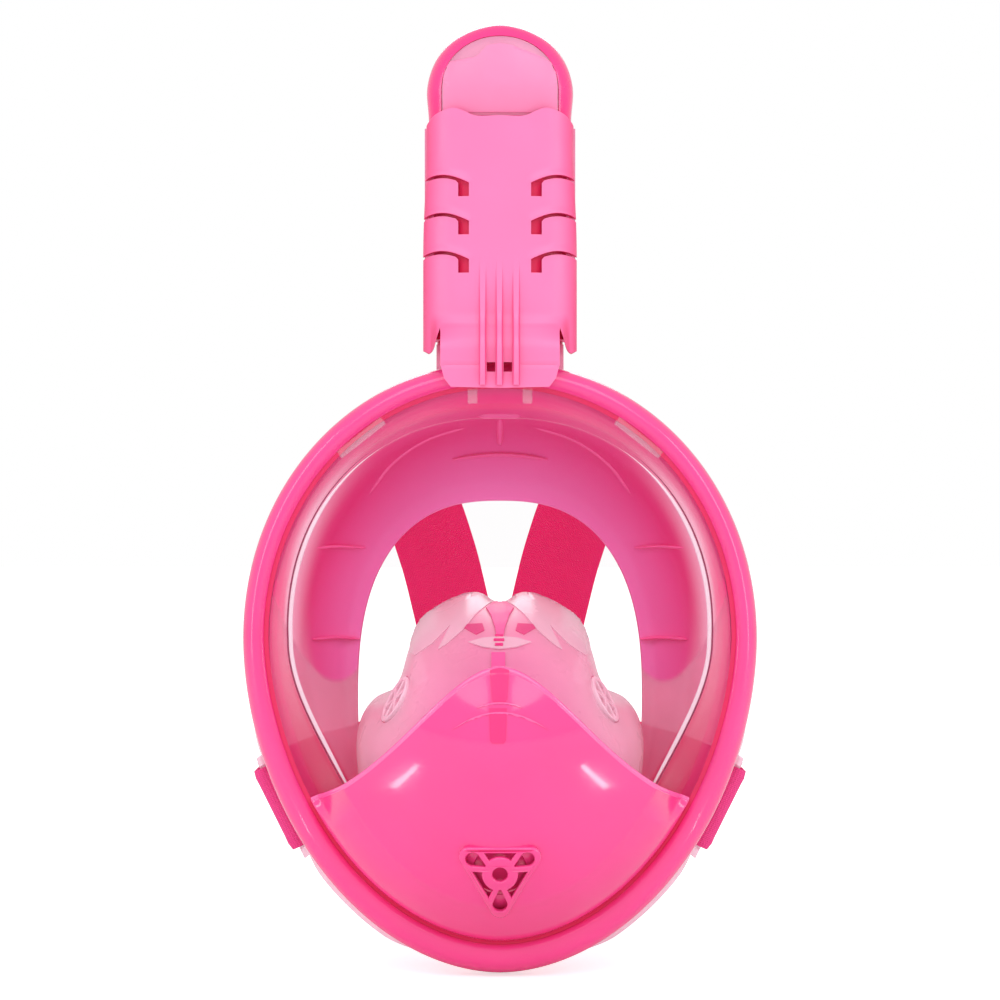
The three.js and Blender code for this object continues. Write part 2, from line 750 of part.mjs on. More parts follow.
// The rear tube's section: inside the front cover at the front, and a little wider behind it.
function rearTubeOutline(shrink) {
  const inset = COVER_WALL + GAP + shrink;
  const [widthBehind, depthBehind] = [TUBE_HALF_WIDTH + 0.6, TUBE_BACK - TUBE_MIDDLE];
  const back = halfOval(0, 180, widthBehind - shrink, depthBehind - shrink, BACK_POWER);
  const step = GAP + shrink;
  return [
    ...halfOval(180, 360, TUBE_HALF_WIDTH - inset, TUBE_MIDDLE - TUBE_FRONT - inset, FRONT_POWER),
    ...back.map((p) => new THREE.Vector2(p.x, Math.max(p.y, TUBE_MIDDLE + step))),
  ];
}

const pivotPoint = (x) => vec(x, PIVOT.y, PIVOT.z);

// The tube, with a knuckle on its back that turns on the hinge pin.
function rearTube() {
  const body = prism(rearTubeOutline(0), TUBE_BOTTOM, TUBE_TOP, [rearTubeOutline(TUBE_WALL)]);
  const knuckle = rod(pivotPoint(-KNUCKLE_HALF), pivotPoint(KNUCKLE_HALF), KNUCKLE_RADIUS, 24);
  const webTop = PIVOT.z + KNUCKLE_RADIUS;
  const web = box([-KNUCKLE_HALF, TUBE_BACK - 3.6, TUBE_BOTTOM], [KNUCKLE_HALF, PIVOT.y, webTop]);
  const inside = prism(rearTubeOutline(TUBE_WALL), TUBE_BOTTOM - 1, TUBE_TOP + 1);
  const hole = rod(pivotPoint(-20), pivotPoint(20), PIN_RADIUS + PIN_CLEARANCE, 20);
  return cut(join([body, cut(join([knuckle, web]), [inside])]), [hole]);
}

// The front cover's outer face.
const coverY = (x, shrink = 0) => {
  const w = TUBE_HALF_WIDTH - shrink;
  const depth = TUBE_MIDDLE - (TUBE_FRONT + shrink);
  const inside = 1 - Math.min(1, Math.abs(x) / w) ** FRONT_POWER;
  return TUBE_MIDDLE - depth * inside ** (1 / FRONT_POWER);
};

const coverFace = (x, z, shrink) => {
  const flat = TONGUE_Y + 1.2 * (x / TONGUE_HALF_WIDTH) ** 2 + shrink;
  const beside = smooth(-Math.abs(x), -22.5, -TONGUE_HALF_WIDTH);
  return mix(coverY(x, shrink), flat, beside * smooth(-z, -TONGUE_START, -TONGUE_FLAT));
};

// A side slot: a cut round the cover's side, with a square window at its inner end.
function coverSlot(side, z) {
  const between = (a, b, low, high, back) =>
    box([Math.min(a, b), TUBE_FRONT - 3, low], [Math.max(a, b), back, high]);
  const inner = side * SLOT_INNER;
  return join([
    between(inner, side * (TUBE_HALF_WIDTH + 2), z, z + SLOT_HEIGHT, TUBE_MIDDLE + 1),
    between(inner, inner + side * SLOT_WINDOW, z - SLOT_WINDOW, z + SLOT_HEIGHT / 2, TUBE_MIDDLE - 6),
  ]);
}

function coverRib(x) {
  const sections = RIB_LINE.map(([z, proud]) => {
    const face = coverFace(x + RIB_WIDTH / 2, z, 0);
    const corners = [[0, -proud], [RIB_WIDTH, -proud], [RIB_WIDTH, 1], [0, 1]];
    return corners.map(([dx, dy]) => vec(x + dx, face + dy, z));
  });
  return bar(sections);
}

function frontCover() {
  const heights = [TUBE_TOP, 130, ...steps(TONGUE_START, TONGUE_FLAT, 4), 90, TONGUE_BOTTOM];
  const grid = (shrink) =>
    heights.map((z) =>
      steps(-90, 90, 22).map((a) => {
        const x = (TUBE_HALF_WIDTH - shrink) * Math.sin(a * DEG);
        return vec(x, coverFace(x, z, shrink), z);
      }),
    );
  const besideTongue = [-1, 1].map((side) => {
    const edges = [side * TONGUE_HALF_WIDTH, side * (TUBE_HALF_WIDTH + 5)];
    return box([Math.min(...edges), -70, 70], [Math.max(...edges), 0, FINGER_BOTTOM]);
  });
  const slots = [-1, 1].flatMap((side) => SLOTS_Z.map((z) => coverSlot(side, z)));
  const panel = shell(grid(0), grid(COVER_WALL), false);
  return cut(join([panel, ...RIBS_X.map(coverRib)]), [...besideTongue, ...slots]);
}

// Inner walls that part the breathing-in channel from the two breathing-out channels.
function channelWall(side) {
  const x = side * CHANNEL_WALL_X;
  return box([x - 0.6, TUBE_FRONT + 5.2, TUBE_BOTTOM + 1], [x + 0.6, TUBE_BACK - 2.2, TUBE_TOP - 1]);
}

// The cap: a dome over the top of the tube, its section shrinking with height.
function capRing(z, shrink) {
  const up = Math.max(0, (z - CAP_SHOULDER) / (CAP_TOP - shrink - CAP_SHOULDER));
  const scale = (1 - Math.min(1, up) ** CAP_ROUNDING) ** (1 / CAP_ROUNDING);
  const waist = mix(CAP_WAIST, 1, smooth(z, CAP_BOTTOM, CAP_SHOULDER));
  const w = (TUBE_HALF_WIDTH * waist - shrink) * scale;
  const d = (CAP_HALF_DEPTH * waist - shrink) * mix(0.35, 1, scale) * (scale > 0 ? 1 : 0);
  return anglesRound(CAP_STEPS).map((a) => {
    const c = Math.cos(a);
    const s = Math.sin(a);
    const y = TUBE_MIDDLE - 0.6 + Math.sign(s) * d * Math.abs(s) ** 0.72;
    return vec(Math.sign(c) * w * Math.abs(c) ** 0.85, y, z);
  });
}

const CAP_STEPS = 28;
const CAP_HEIGHTS = [0, 0.3, 0.5, 0.68, 0.82, 0.92, 0.98, 1];

function capDome() {
  const rows = (shrink) => CAP_HEIGHTS.map((h) => capRing(mix(CAP_BOTTOM, CAP_TOP - shrink, h), shrink));
  return shell(rows(0), rows(CAP_WALL), true);
}

// The arch that the window fills in the dome's front, pushed back from in front of the dome.
function windowArch(grow) {
  const low = CAP_BOTTOM + 2.4 - grow;
  const w = WINDOW_HALF + grow;
  const rise = CAP_TOP - 4.6 - WINDOW_SHOULDER + grow;
  const arch = steps(0, 180, 12).map(
    (a) => new THREE.Vector2(w * Math.cos(a * DEG), WINDOW_SHOULDER + rise * Math.sin(a * DEG) ** 0.9),
  );
  const outline = [new THREE.Vector2(w, low), ...arch, new THREE.Vector2(-w, low)];
  return prism(outline, 0, 20).rotate(90, 0, 0).translate(0, TUBE_MIDDLE - 3, 0);
}

function cap() {
  const inlets = INLETS_X.map((x) => box([x - 2.5, TUBE_MIDDLE + 4, 194], [x + 2.5, 0, 197]));
  return cut(capDome(), [...inlets, windowArch(GAP)]);
}

const capWindow = () => capDome().intersect(windowArch(0));

// Plates inside the cap: the float's floor, and the seat above it with the air port.
function capPlate(low, high, holes) {
  const [below, above] = [low, high].map((z) => capRing(z, CAP_WALL + GAP));
  const narrower = above[0].x < below[0].x ? above : below;
  const flat = narrower.map((p) => new THREE.Vector2(p.x, Math.max(p.y, TUBE_FRONT + 5.4)));
  const bends = flat.filter((p, i) => flat.at(i - 1).y !== p.y || flat[(i + 1) % flat.length].y !== p.y);
  return prism(bends, low, high, holes);
}

const rectangle = (x, y, halfX, halfY) =>
  [[-1, -1], [-1, 1], [1, 1], [1, -1]].map(([a, b]) => new THREE.Vector2(x + a * halfX, y + b * halfY));

const guide = (a, b, z) => vec(a * 8.4, TUBE_MIDDLE + b * 7.2, z);

// The seat that the float closes, with a low chimney over its port.
function floatSeat() {
  const port = rectangle(0, TUBE_MIDDLE, 6, 4);
  const chimney = prism(rectangle(0, TUBE_MIDDLE, 8, 6), SEAT_LOW + 1, SEAT_LOW + 5.6, [port]);
  return join([capPlate(SEAT_LOW, SEAT_LOW + 1.6, [port]), chimney]);
}

function floatParts() {
  const oval = (w, d) =>
    range(24).map((i) => {
      const a = (i / 24) * 2 * Math.PI;
      return new THREE.Vector2(w * Math.cos(a), TUBE_MIDDLE + d * Math.sin(a));
    });
  const corners = [[-1, -1], [-1, 1], [1, 1], [1, -1]];
  const guideTop = SEAT_LOW - GAP;
  const guides = corners.map(([a, b]) => rod(guide(a, b, FLOOR_LOW), guide(a, b, guideTop), 1, 8));
  return {
    floor: join([
      capPlate(FLOOR_LOW, FLOOR_LOW + 1.6, [-13.5, 13.5].map((x) => rectangle(x, TUBE_MIDDLE, 3, 5))),
      ...guides,
    ]),
    seat: floatSeat(),
    body: prism(oval(9.6, 8), FLOAT_BASE, FLOAT_TOP),
    seal: prism(oval(8.6, 7), FLOAT_TOP + 0.3, FLOAT_TOP + 1.9),
  };
}

// ---- The socket on top of the frame, its gasket, and the hinge ----

// Everything inside the frame's outline, from front to back.
function frameCore(out) {
  const outline = anglesRound(72).map((angle) => {
    const r = frameRadius(angle) + out;
    return new THREE.Vector2(r * Math.cos(angle), r * Math.sin(angle));
  });
  return prism(outline, 0, 80).rotate(90, 0, 0);
}

function socket() {
  const tube = prism(socketOutline(0), SOCKET_BOTTOM, SOCKET_TOP, [socketOutline(2)]);
  const lugs = [-1, 1].map((side) => {
    const near = side * (KNUCKLE_HALF + GAP);
    const far = side * (KNUCKLE_HALF + GAP + LUG);
    const [low, high] = [Math.min(near, far), Math.max(near, far)];
    const arm = box([low, TUBE_BACK - 5, 93.8], [high, PIVOT.y + KNUCKLE_RADIUS, PIVOT.z - 2.6]);
    const inside = prism(socketOutline(2), SOCKET_BOTTOM - 4, SOCKET_TOP + 2);
    return cut(join([rod(pivotPoint(near), pivotPoint(far), KNUCKLE_RADIUS, 24), arm]), [inside]);
  });
  const hole = rod(pivotPoint(-22), pivotPoint(22), PIN_RADIUS + PIN_CLEARANCE, 20);
  return cut(join([tube, ...lugs]), [frameCore(GAP), hole]);
}

const gasket = () =>
  prism(socketOutline(0.3), SOCKET_TOP + 0.3, TUBE_BOTTOM - 0.3, [socketOutline(1.9)]);

const PIN_HALF = KNUCKLE_HALF + LUG + 1;
const hingePin = () => rod(pivotPoint(-PIN_HALF), pivotPoint(PIN_HALF), PIN_RADIUS, 20);

// ---- The head strap ----

const LOOP_INNER = BAR_RADIUS + 0.4;

const halfCircle = (x, radius, from) =>
  steps(from, from + 180, 8).map(
    (a) => new THREE.Vector2(x + radius * Math.cos(a * DEG), radius * Math.sin(a * DEG)),
  );

// The loop of webbing round a strap bar: a stadium ring, pushed along the bar.
function strapLoop(name) {
  const { place, along } = anchor(name);
  const stadium = (radius) => [
    ...halfCircle(0, radius, 90),
    ...halfCircle(LOOP_LENGTH, radius, -90),
  ];
  const band = prism(stadium(LOOP_INNER + STRAP_THICK), -STRAP_WIDTH / 2, STRAP_WIDTH / 2, [
    stadium(LOOP_INNER),
  ]);
  const x = vec(0, 1, 0);
  const frame = new THREE.Matrix4().makeBasis(x, along.clone().cross(x), along).setPosition(place);
  return band.transform(frame.elements);
}

const STRAP_START = LOOP_LENGTH + LOOP_INNER + STRAP_THICK + 1;

// The pad's upper edge is a shallow roof, square to the two upper straps.
const padTop = (x) => 8 - 0.32 * Math.abs(x);

function backPad() {
  const grid = (back) =>
    steps(0, 1, 4).map((v) =>
      steps(-PAD_HALF, PAD_HALF, 10).map((x) => {
        const waist = 1 - PAD_WAIST * smooth(v, 0, 0.45) * smooth(Math.abs(x), 10, PAD_HALF);
        const z = mix(padTop(x), PAD_BOTTOM + x ** 2 / 150, v);
        return vec(x * waist, PAD_Y - x ** 2 / PAD_BEND + back, z);
      }),
    );
  return shell(grid(-PAD_THICK / 2), grid(PAD_THICK / 2), false);
}

// A flat strap along a path. Its width turns to another direction between two shares of its length.
function strap(points, acrossStart, acrossEnd, turnFrom, turnTo) {
  const path = new THREE.CatmullRomCurve3(points, false, "centripetal");
  if (acrossStart.dot(acrossEnd) < 0) acrossEnd.negate();
  const sections = steps(0, 1, 18).map((t) => {
    const p = path.getPoint(t);
    const along = path.getTangent(t);
    const wide = acrossStart.clone().lerp(acrossEnd, smooth(t, turnFrom, turnTo));
    wide.addScaledVector(along, -wide.dot(along)).normalize();
    const thick = along.clone().cross(wide).normalize();
    return [[-1, -1], [1, -1], [1, 1], [-1, 1]].map(([a, b]) =>
      p
        .clone()
        .addScaledVector(wide, (a * STRAP_WIDTH) / 2)
        .addScaledVector(thick, (b * STRAP_THICK) / 2),
    );
  });
  return bar(sections);
}

function upperStrap(side) {
  const { place, along } = anchor(side < 0 ? "upper_left" : "upper_right");
  const start = place.clone().add(vec(0, STRAP_START, 0));
  const route = [
    start,
    start.clone().add(vec(side * 0.5, 26, 0)),
    vec(side * 46, 72, 65),
    vec(side * 33, 103, 50),
    vec(side * 24.6, 116, 27),
    vec(side * 18.8, PAD_Y - 2, 3.5),
  ];
  return strap(route, along.clone(), vec(0.95, 0, -side * 0.31), 0.25, 0.8);
}

function lowerStrap(side) {
  const { place, along } = anchor(side < 0 ? "lower_left" : "lower_right");
  const start = place.clone().add(vec(0, STRAP_START, 0));
  const back = (y) => start.clone().add(vec(0, y, 0));
  const route = [
    start,
    back(STRAIGHT * 0.5),
    back(STRAIGHT * 0.85),
    back(STRAIGHT),
    vec(side * 64, 76, -53),
    vec(side * 50, 103, -46.5),
    vec(side * 32.8, PAD_Y - 7.2, -37),
  ];
  return strap(route, along.clone(), vec(side * 0.12, 0, 0.99), 0.5, 0.9);
}

// A slider that takes up the strap: a flat sleeve round the straight part by a lower loop.
function slider(name) {
  const { place, along } = anchor(name);
  const start = STRAP_START + 3;
  const sleeve = prism(
    rectangle(0, 0, STRAP_WIDTH / 2 + 3, 2.6),
    start,
    start + SLIDER_LENGTH,
    [rectangle(0, 0, STRAP_WIDTH / 2 + 0.6, STRAP_THICK / 2 + 0.5)],
  );
  const z = vec(0, 1, 0);
  const frame = new THREE.Matrix4().makeBasis(along, z.clone().cross(along), z).setPosition(place);
  return sleeve.transform(frame.elements);
}

// ---- The assembly ----

piece("front_frame", frontFrame(), "pink");
piece("rear_frame", rearFrame(), "clear");
piece("visor_lens", visor(), "clear");
piece("chin_cover", chinCover(), "pink");
piece("face_skirt", faceSkirt(), "skirt");
piece("nose_pocket", nosePocket(), "pocket");

const purge = purgeParts();
piece("purge_grille", purgeGrille(), "pink");
piece("purge_flap", purge.disc, "valve");
piece("purge_valve_seat", purge.seat, "skirt");

for (const [name, side] of [["left", -1], ["right", 1]]) {
  const inhale = inhaleParts(side);
  piece(`inhale_valve_seat_${name}`, inhale.seat, "pocket");
  piece(`inhale_flap_${name}`, inhale.disc, "valve");
  piece(`channel_wall_${name}`, channelWall(side), "clear");
  piece(`strap_slider_${name}`, slider(`lower_${name}`), "pink");
}

const floating = floatParts();
piece("snorkel_rear_tube", rearTube(), "clear");
piece("snorkel_front_cover", frontCover(), "pink");
piece("snorkel_cap", cap(), "pink");
piece("cap_window", capWindow(), "pocket");
piece("float_floor", floating.floor, "pink");
piece("float_seat", floating.seat, "pink");
piece("float_body", floating.body, "valve");
piece("float_seal", floating.seal, "valve");
piece("snorkel_socket", socket(), "clear");
piece("socket_gasket", gasket(), "valve");
piece("hinge_pin", hingePin(), "steel");

Object.keys(anchorAngles).forEach((name) => piece(`strap_loop_${name}`, strapLoop(name), "webbing"));
for (const [name, side] of [["left", -1], ["right", 1]]) {
  piece(`upper_strap_${name}`, upperStrap(side), "webbing");
  piece(`lower_strap_${name}`, lowerStrap(side), "webbing");
}
piece("back_pad", backPad(), "skirt");

export default mask;
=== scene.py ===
"""The full face snorkel mask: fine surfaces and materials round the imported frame."""

import math

import bmesh
import bpy
import numpy as np
from mathutils import Matrix, Vector


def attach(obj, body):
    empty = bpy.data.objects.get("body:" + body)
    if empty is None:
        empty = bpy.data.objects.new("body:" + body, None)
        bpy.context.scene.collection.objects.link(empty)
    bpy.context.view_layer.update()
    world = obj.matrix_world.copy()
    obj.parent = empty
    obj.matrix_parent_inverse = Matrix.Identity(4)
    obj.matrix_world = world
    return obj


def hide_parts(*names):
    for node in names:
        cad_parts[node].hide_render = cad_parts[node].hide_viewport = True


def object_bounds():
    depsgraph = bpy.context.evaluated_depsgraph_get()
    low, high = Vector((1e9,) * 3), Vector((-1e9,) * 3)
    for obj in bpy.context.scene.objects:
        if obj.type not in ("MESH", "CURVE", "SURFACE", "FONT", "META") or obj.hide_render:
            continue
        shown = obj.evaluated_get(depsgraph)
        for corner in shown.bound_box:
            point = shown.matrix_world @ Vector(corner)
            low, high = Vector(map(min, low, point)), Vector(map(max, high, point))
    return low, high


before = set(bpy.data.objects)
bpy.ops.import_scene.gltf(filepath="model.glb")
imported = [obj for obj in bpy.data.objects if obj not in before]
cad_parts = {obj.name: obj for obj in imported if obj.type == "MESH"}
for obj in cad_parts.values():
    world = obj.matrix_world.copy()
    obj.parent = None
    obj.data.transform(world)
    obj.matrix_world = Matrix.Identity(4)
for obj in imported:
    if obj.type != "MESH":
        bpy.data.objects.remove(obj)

CAD_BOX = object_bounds()
MM = 0.001

# ---- Driving dimensions, in millimetres, as in the CAD source. Those of one piece stand beside it. ----

HALF_WIDTH, RISE, DROP = 87.2, 93.3, 112
UPPER_POWER, LOWER_POWER = 2.03, 1.9
FRAME_Y, SIDE_WRAP, END_WRAP = -48, 14, 4
FRAME_BAND, CHIN_BAND = 7.5, 2.5
HOOK, SLOT = 2.2, 2.6
HOOP_INNER, HOOP_FRONT, HOOP_BACK = -8.4, 4.4, 9.4

VISOR_Y, VISOR_BEND, VISOR_BEND_AT, VISOR_DROOP = -76, 20, 69, 0.0024
WALL = 2
SNOUT, SNOUT_HALF_WIDTH, SNOUT_Z, SNOUT_HALF_HEIGHT = 12, 34, -52, 40
FACE_CENTRE_Z = -12
# The visor's flange starts this far in front of the saddle-shaped middle plane of the frame.
FLANGE_FRONT = 1.6

BELL_TOP, BELL_DROP, BELL_WIDTH, BELL_POWER = -7, 53, 43, 1.82
COVER_GAP, COVER_WALL = 1.5, 2

OPENING_Z, OPENING_HALF_WIDTH, OPENING_RISE, OPENING_DROP, OPENING_POWER = -22, 50, 69, 62, 2.5

TUBE_HALF_WIDTH, TUBE_FRONT, TUBE_MIDDLE, TUBE_BACK = 25, -50, -33, -17
TUBE_BOTTOM, TUBE_TOP, CAP_BOTTOM, CAP_TOP, SOCKET_TOP = 101.2, 173.2, 173.6, 207.4, 99.6
FRONT_POWER, BACK_POWER = 2.6, 4
TONGUE_HALF_WIDTH, TONGUE_BOTTOM, TONGUE_Y = 19.8, 84, -55
PIVOT_Y, PIVOT_Z = -12, 102
GAP = 0.4

STRAP_WIDTH, STRAP_THICK = 30, 1.6
UPPER_ANCHOR, LOWER_ANCHOR = 52, -38
BAR_RADIUS, BAR_DEPTH, UPPER_BAR_OUT, LOWER_BAR_OUT = 2, 17, -5, 1.9
LOOP_LENGTH = 14
LOOP_INNER = BAR_RADIUS + 0.4
STRAP_START = LOOP_LENGTH + LOOP_INNER + STRAP_THICK + 1
STRAIGHT = 46
PAD_Y, PAD_BEND, PAD_THICK, PAD_HALF, PAD_BOTTOM = 124, 180, 3, 34, -52

SIDES = {"left": -1, "right": 1}

# ---- Small maths ----


def mix(a, b, t):
    return a + (b - a) * t


def smooth(x, low, high):
    t = np.clip((np.asarray(x, float) - low) / (high - low), 0, 1)
    return t * t * (3 - 2 * t)


def xyz(x, y, z):
    """Points from three arrays or numbers of any shapes that go together."""
    return np.stack(np.broadcast_arrays(*(np.asarray(v, float) for v in (x, y, z))), -1)


def unit(v):
    v = np.asarray(v, float)
    return v / np.linalg.norm(v, axis=-1, keepdims=True)


def round_angles(count):
    return np.arange(count) * 2 * math.pi / count


def rounded(points, radii, steps=4):
    """A closed outline with each corner rounded."""
    out = []
    n = len(points)
    for i in range(n):
        p, before, after = (np.array(points[k % n], float) for k in (i, i - 1, i + 1))
        radius = radii[i] if isinstance(radii, (list, tuple)) else radii
        a = p + unit(before - p) * min(radius, np.linalg.norm(before - p) * 0.49)
        b = p + unit(after - p) * min(radius, np.linalg.norm(after - p) * 0.49)
        for t in np.linspace(0, 1, steps + 1):
            out.append((1 - t) ** 2 * a + 2 * t * (1 - t) * p + t * t * b)
    return np.array(out)


def spline(points, count):
    """Points along a smooth open curve through the given ones, by chord length."""
    p = np.array(points, float)
    t = np.r_[0, np.cumsum(np.sqrt(np.linalg.norm(np.diff(p, axis=0), axis=1)))]
    slope = np.empty_like(p)
    d = np.diff(p, axis=0) / np.diff(t)[:, None]
    h = np.diff(t)[:, None]
    slope[1:-1] = (d[:-1] * h[1:] + d[1:] * h[:-1]) / (h[:-1] + h[1:])
    slope[0], slope[-1] = d[0], d[-1]
    out = []
    for s in np.linspace(0, t[-1], count):
        i = min(np.searchsorted(t, s, side="right") - 1, len(p) - 2)
        w = t[i + 1] - t[i]
        k = (s - t[i]) / w
        out.append(
            (2 * k**3 - 3 * k**2 + 1) * p[i]
            + (k**3 - 2 * k**2 + k) * w * slope[i]
            + (-2 * k**3 + 3 * k**2) * p[i + 1]
            + (k**3 - k**2) * w * slope[i + 1]
        )
    return np.array(out)


# ---- The mask's surfaces ----


def super_radius(angle, a, b, power):
    return (abs(np.cos(angle) / a) ** power + abs(np.sin(angle) / b) ** power) ** (-1 / power)


def frame_radius(angle):
    above = np.sin(angle) > 0
    high = super_radius(angle, HALF_WIDTH, RISE, UPPER_POWER)
    return np.where(above, high, super_radius(angle, HALF_WIDTH, DROP, LOWER_POWER))


def saddle_y(x, z):
    return FRAME_Y + SIDE_WRAP * (x / HALF_WIDTH) ** 2 + END_WRAP * (z / 100) ** 2


def frame_point(angle, out, back):
    r = frame_radius(angle) + out
    x, z = r * np.cos(angle), r * np.sin(angle)
    return xyz(x, saddle_y(x, z) + back, z)


def band_width(angle):
    return FRAME_BAND + CHIN_BAND * np.maximum(0, -np.sin(angle))


def in_chin(angle):
    return smooth(-np.sin(angle), 0.45, 0.75)


def wall_base(angle):
    return band_width(angle) + 2 + 2.8 * in_chin(angle)


def wall_top(angle):
    above, below = np.maximum(0, np.sin(angle)), np.maximum(0, -np.sin(angle))
    shoulders = 3.6 * above * abs(np.cos(angle))
    return 16.4 + 2 * above**6 - shoulders + 8.1 * smooth(below, 0, 0.75)


def face_y(x, z):
    beside, above = x / SNOUT_HALF_WIDTH, (z - SNOUT_Z) / SNOUT_HALF_HEIGHT
    snout = SNOUT * np.exp(-(beside**2)) * np.exp(-(above**4))
    return VISOR_Y + VISOR_BEND * (x / VISOR_BEND_AT) ** 2 + VISOR_DROOP * z * z - snout


def visor_y(x, z):
    """The visor's outer surface anywhere inside the frame."""
    angle = np.arctan2(z, x)
    r = np.hypot(x, z)
    base = frame_radius(angle) - wall_base(angle)
    top = frame_radius(angle) - wall_top(angle)
    edge = face_y(top * np.cos(angle), top * np.sin(angle))
    share = np.clip((r - top) / (base - top), 0, None)
    return np.where(r <= top, face_y(x, z), mix(edge, saddle_y(x, z) - FLANGE_FRONT, share))


def visor_offset(x, z, out):
    r = np.hypot(x, z)
    shrink = np.where(r > out, (r - out) / np.maximum(r, 1e-6), 0)
    return np.minimum(visor_y(x, z), visor_y(x * shrink, z * shrink)) - out


def bell_z(x):
    return BELL_TOP - BELL_DROP * (1 - np.exp(-((abs(x) / BELL_WIDTH) ** BELL_POWER)))


VALVE_Z = -72.2
VALVE_SLOPE = float(face_y(0, VALVE_Z + 0.5) - face_y(0, VALVE_Z - 0.5))
VALVE_AXIS = unit([0, -1, VALVE_SLOPE])


def valve_place(forward):
    """A point on the drain valve's axis, so far in front of the visor's face."""
    return np.array([0, float(face_y(0, VALVE_Z)), VALVE_Z]) + VALVE_AXIS * forward


# ---- Meshes ----


def mesh_object(name, points, faces, sharp=40):
    """A new object from points in millimetres."""
    mesh = bpy.data.meshes.new(name)
    mesh.from_pydata([tuple(p) for p in np.asarray(points) * MM], [], [tuple(map(int, f)) for f in faces])
    mesh.validate()
    mesh.update()
    made = bpy.data.objects.new(name, mesh)
    bpy.context.scene.collection.objects.link(made)
    outward(made)
    smooth_shade(made, sharp)
    return made


def smooth_shade(made, sharp=40):
    mesh = made.data
    mesh.polygons.foreach_set("use_smooth", [True] * len(mesh.polygons))
    if sharp < 180:
        mesh.set_sharp_from_angle(angle=math.radians(sharp))
    mesh.update()


def outward(made):
    """Turns every face outwards."""
    bm = bmesh.new()
    bm.from_mesh(made.data)
    bmesh.ops.remove_doubles(bm, verts=bm.verts, dist=1e-6)
    bmesh.ops.dissolve_degenerate(bm, edges=bm.edges, dist=1e-7)
    bmesh.ops.recalc_face_normals(bm, faces=bm.faces)
    bm.to_mesh(made.data)
    bm.free()


def grid_faces(rows, columns, wrap_rows, wrap_columns, start=0):
    at = lambda r, c: start + (r % rows) * columns + (c % columns)
    return [
        (at(r, c), at(r, c + 1), at(r + 1, c + 1), at(r + 1, c))
        for r in range(rows if wrap_rows else rows - 1)
        for c in range(columns if wrap_columns else columns - 1)
    ]


def sweep(name, sections, closed=True, sharp=40):
    """Closed sections, shaped (stations, points, 3), in a closed loop or capped at both ends."""
    stations, points = sections.shape[:2]
    faces = grid_faces(stations, points, closed, True)
    if not closed:
        faces += [tuple(range(points)), tuple(range(stations * points - 1, (stations - 1) * points - 1, -1))]
    return mesh_object(name, sections.reshape(-1, 3), faces, sharp)


def shell(name, front, back, wrap=False, sharp=40, domed=False):
    """A closed shell between two grids of points. With wrap, each row is a closed loop.

    When it is domed, its last rows are closed by a face each instead of meeting in a rim."""
    rows, columns = front.shape[:2]
    count = rows * columns
    faces = grid_faces(rows, columns, False, wrap) + [
        f[::-1] for f in grid_faces(rows, columns, False, wrap, count)
    ]
    across = columns if wrap else columns - 1
    last = (rows - 1) * columns
    for c in range(across):
        d = (c + 1) % columns
        faces.append((count + c, count + d, d, c))
        if not domed:
            faces.append((last + c, last + d, count + last + d, count + last + c))
    if domed:
        faces += [tuple(range(last, count)), tuple(range(2 * count - 1, count + last - 1, -1))]
    if not wrap:
        for r in range(rows - 1):
            a, b = r * columns, (r + 1) * columns
            faces.append((a, b, count + b, count + a))
            a, b = a + columns - 1, b + columns - 1
            faces.append((b, a, count + a, count + b))
    return mesh_object(name, np.concatenate([front.reshape(-1, 3), back.reshape(-1, 3)]), faces, sharp)


def prism(name, outline, low, high, axis="z"):
    """A flat outline pushed along an axis. On the Y axis the outline is in X and Z."""
    outline = np.asarray(outline, float)
    n = len(outline)
    ends = []
    for level in (low, high):
        u, v = outline[:, 0], outline[:, 1]
        ends.append(xyz(u, v, level) if axis == "z" else xyz(u, level, v))
    faces = [tuple(range(n)), tuple(range(2 * n - 1, n - 1, -1))]
    faces += [(i, (i + 1) % n, n + (i + 1) % n, n + i) for i in range(n)]
    return mesh_object(name, np.concatenate(ends), faces, 30)


def block(name, low, high):
    (x0, y0, z0), (x1, y1, z1) = low, high
    return prism(name, [(x0, y0), (x1, y0), (x1, y1), (x0, y1)], z0, z1)


def rod(name, a, b, radius, sides=48):
    a, b = np.array(a, float), np.array(b, float)
    along = unit(b - a)
    side = unit(np.cross(along, [0, 0, 1] if abs(along[2]) < 0.9 else [1, 0, 0]))
    other = np.cross(along, side)
    t = round_angles(sides)[:, None]
    circle = radius * (np.cos(t) * side + np.sin(t) * other)
    return sweep(name, np.stack([a + circle, b + circle]), closed=False)


def apply_all(made):
    """Makes what the modifiers show the object's own mesh."""
    graph = bpy.context.evaluated_depsgraph_get()
    shown = made.evaluated_get(graph)
    fresh = bpy.data.meshes.new_from_object(shown, preserve_all_data_layers=True, depsgraph=graph)
    old = made.data
    made.modifiers.clear()
    made.data = fresh
    bpy.data.meshes.remove(old)
    return made


def combine(made, other, operation):
    """Cuts, joins or intersects one solid with another, which is used up."""
    modifier = made.modifiers.new("combine", "BOOLEAN")
    modifier.operation = operation
    modifier.solver = "EXACT"
    modifier.object = other
    bpy.context.view_layer.update()
    apply_all(made)
    mesh = other.data
    bpy.data.objects.remove(other)
    bpy.data.meshes.remove(mesh)
    return made


def soften(made, width, segments):
    """Rounds the solid's sharp edges a little."""
    bevel = made.modifiers.new("soften", "BEVEL")
    bevel.width = width * MM
    bevel.segments = segments
    bevel.limit_method = "ANGLE"
    bevel.angle_limit = math.radians(40)
    bevel.use_clamp_overlap = True
    bevel.miter_outer = "MITER_ARC"
    bevel.harden_normals = False
    apply_all(made)
    smooth_shade(made, 50)
    return made


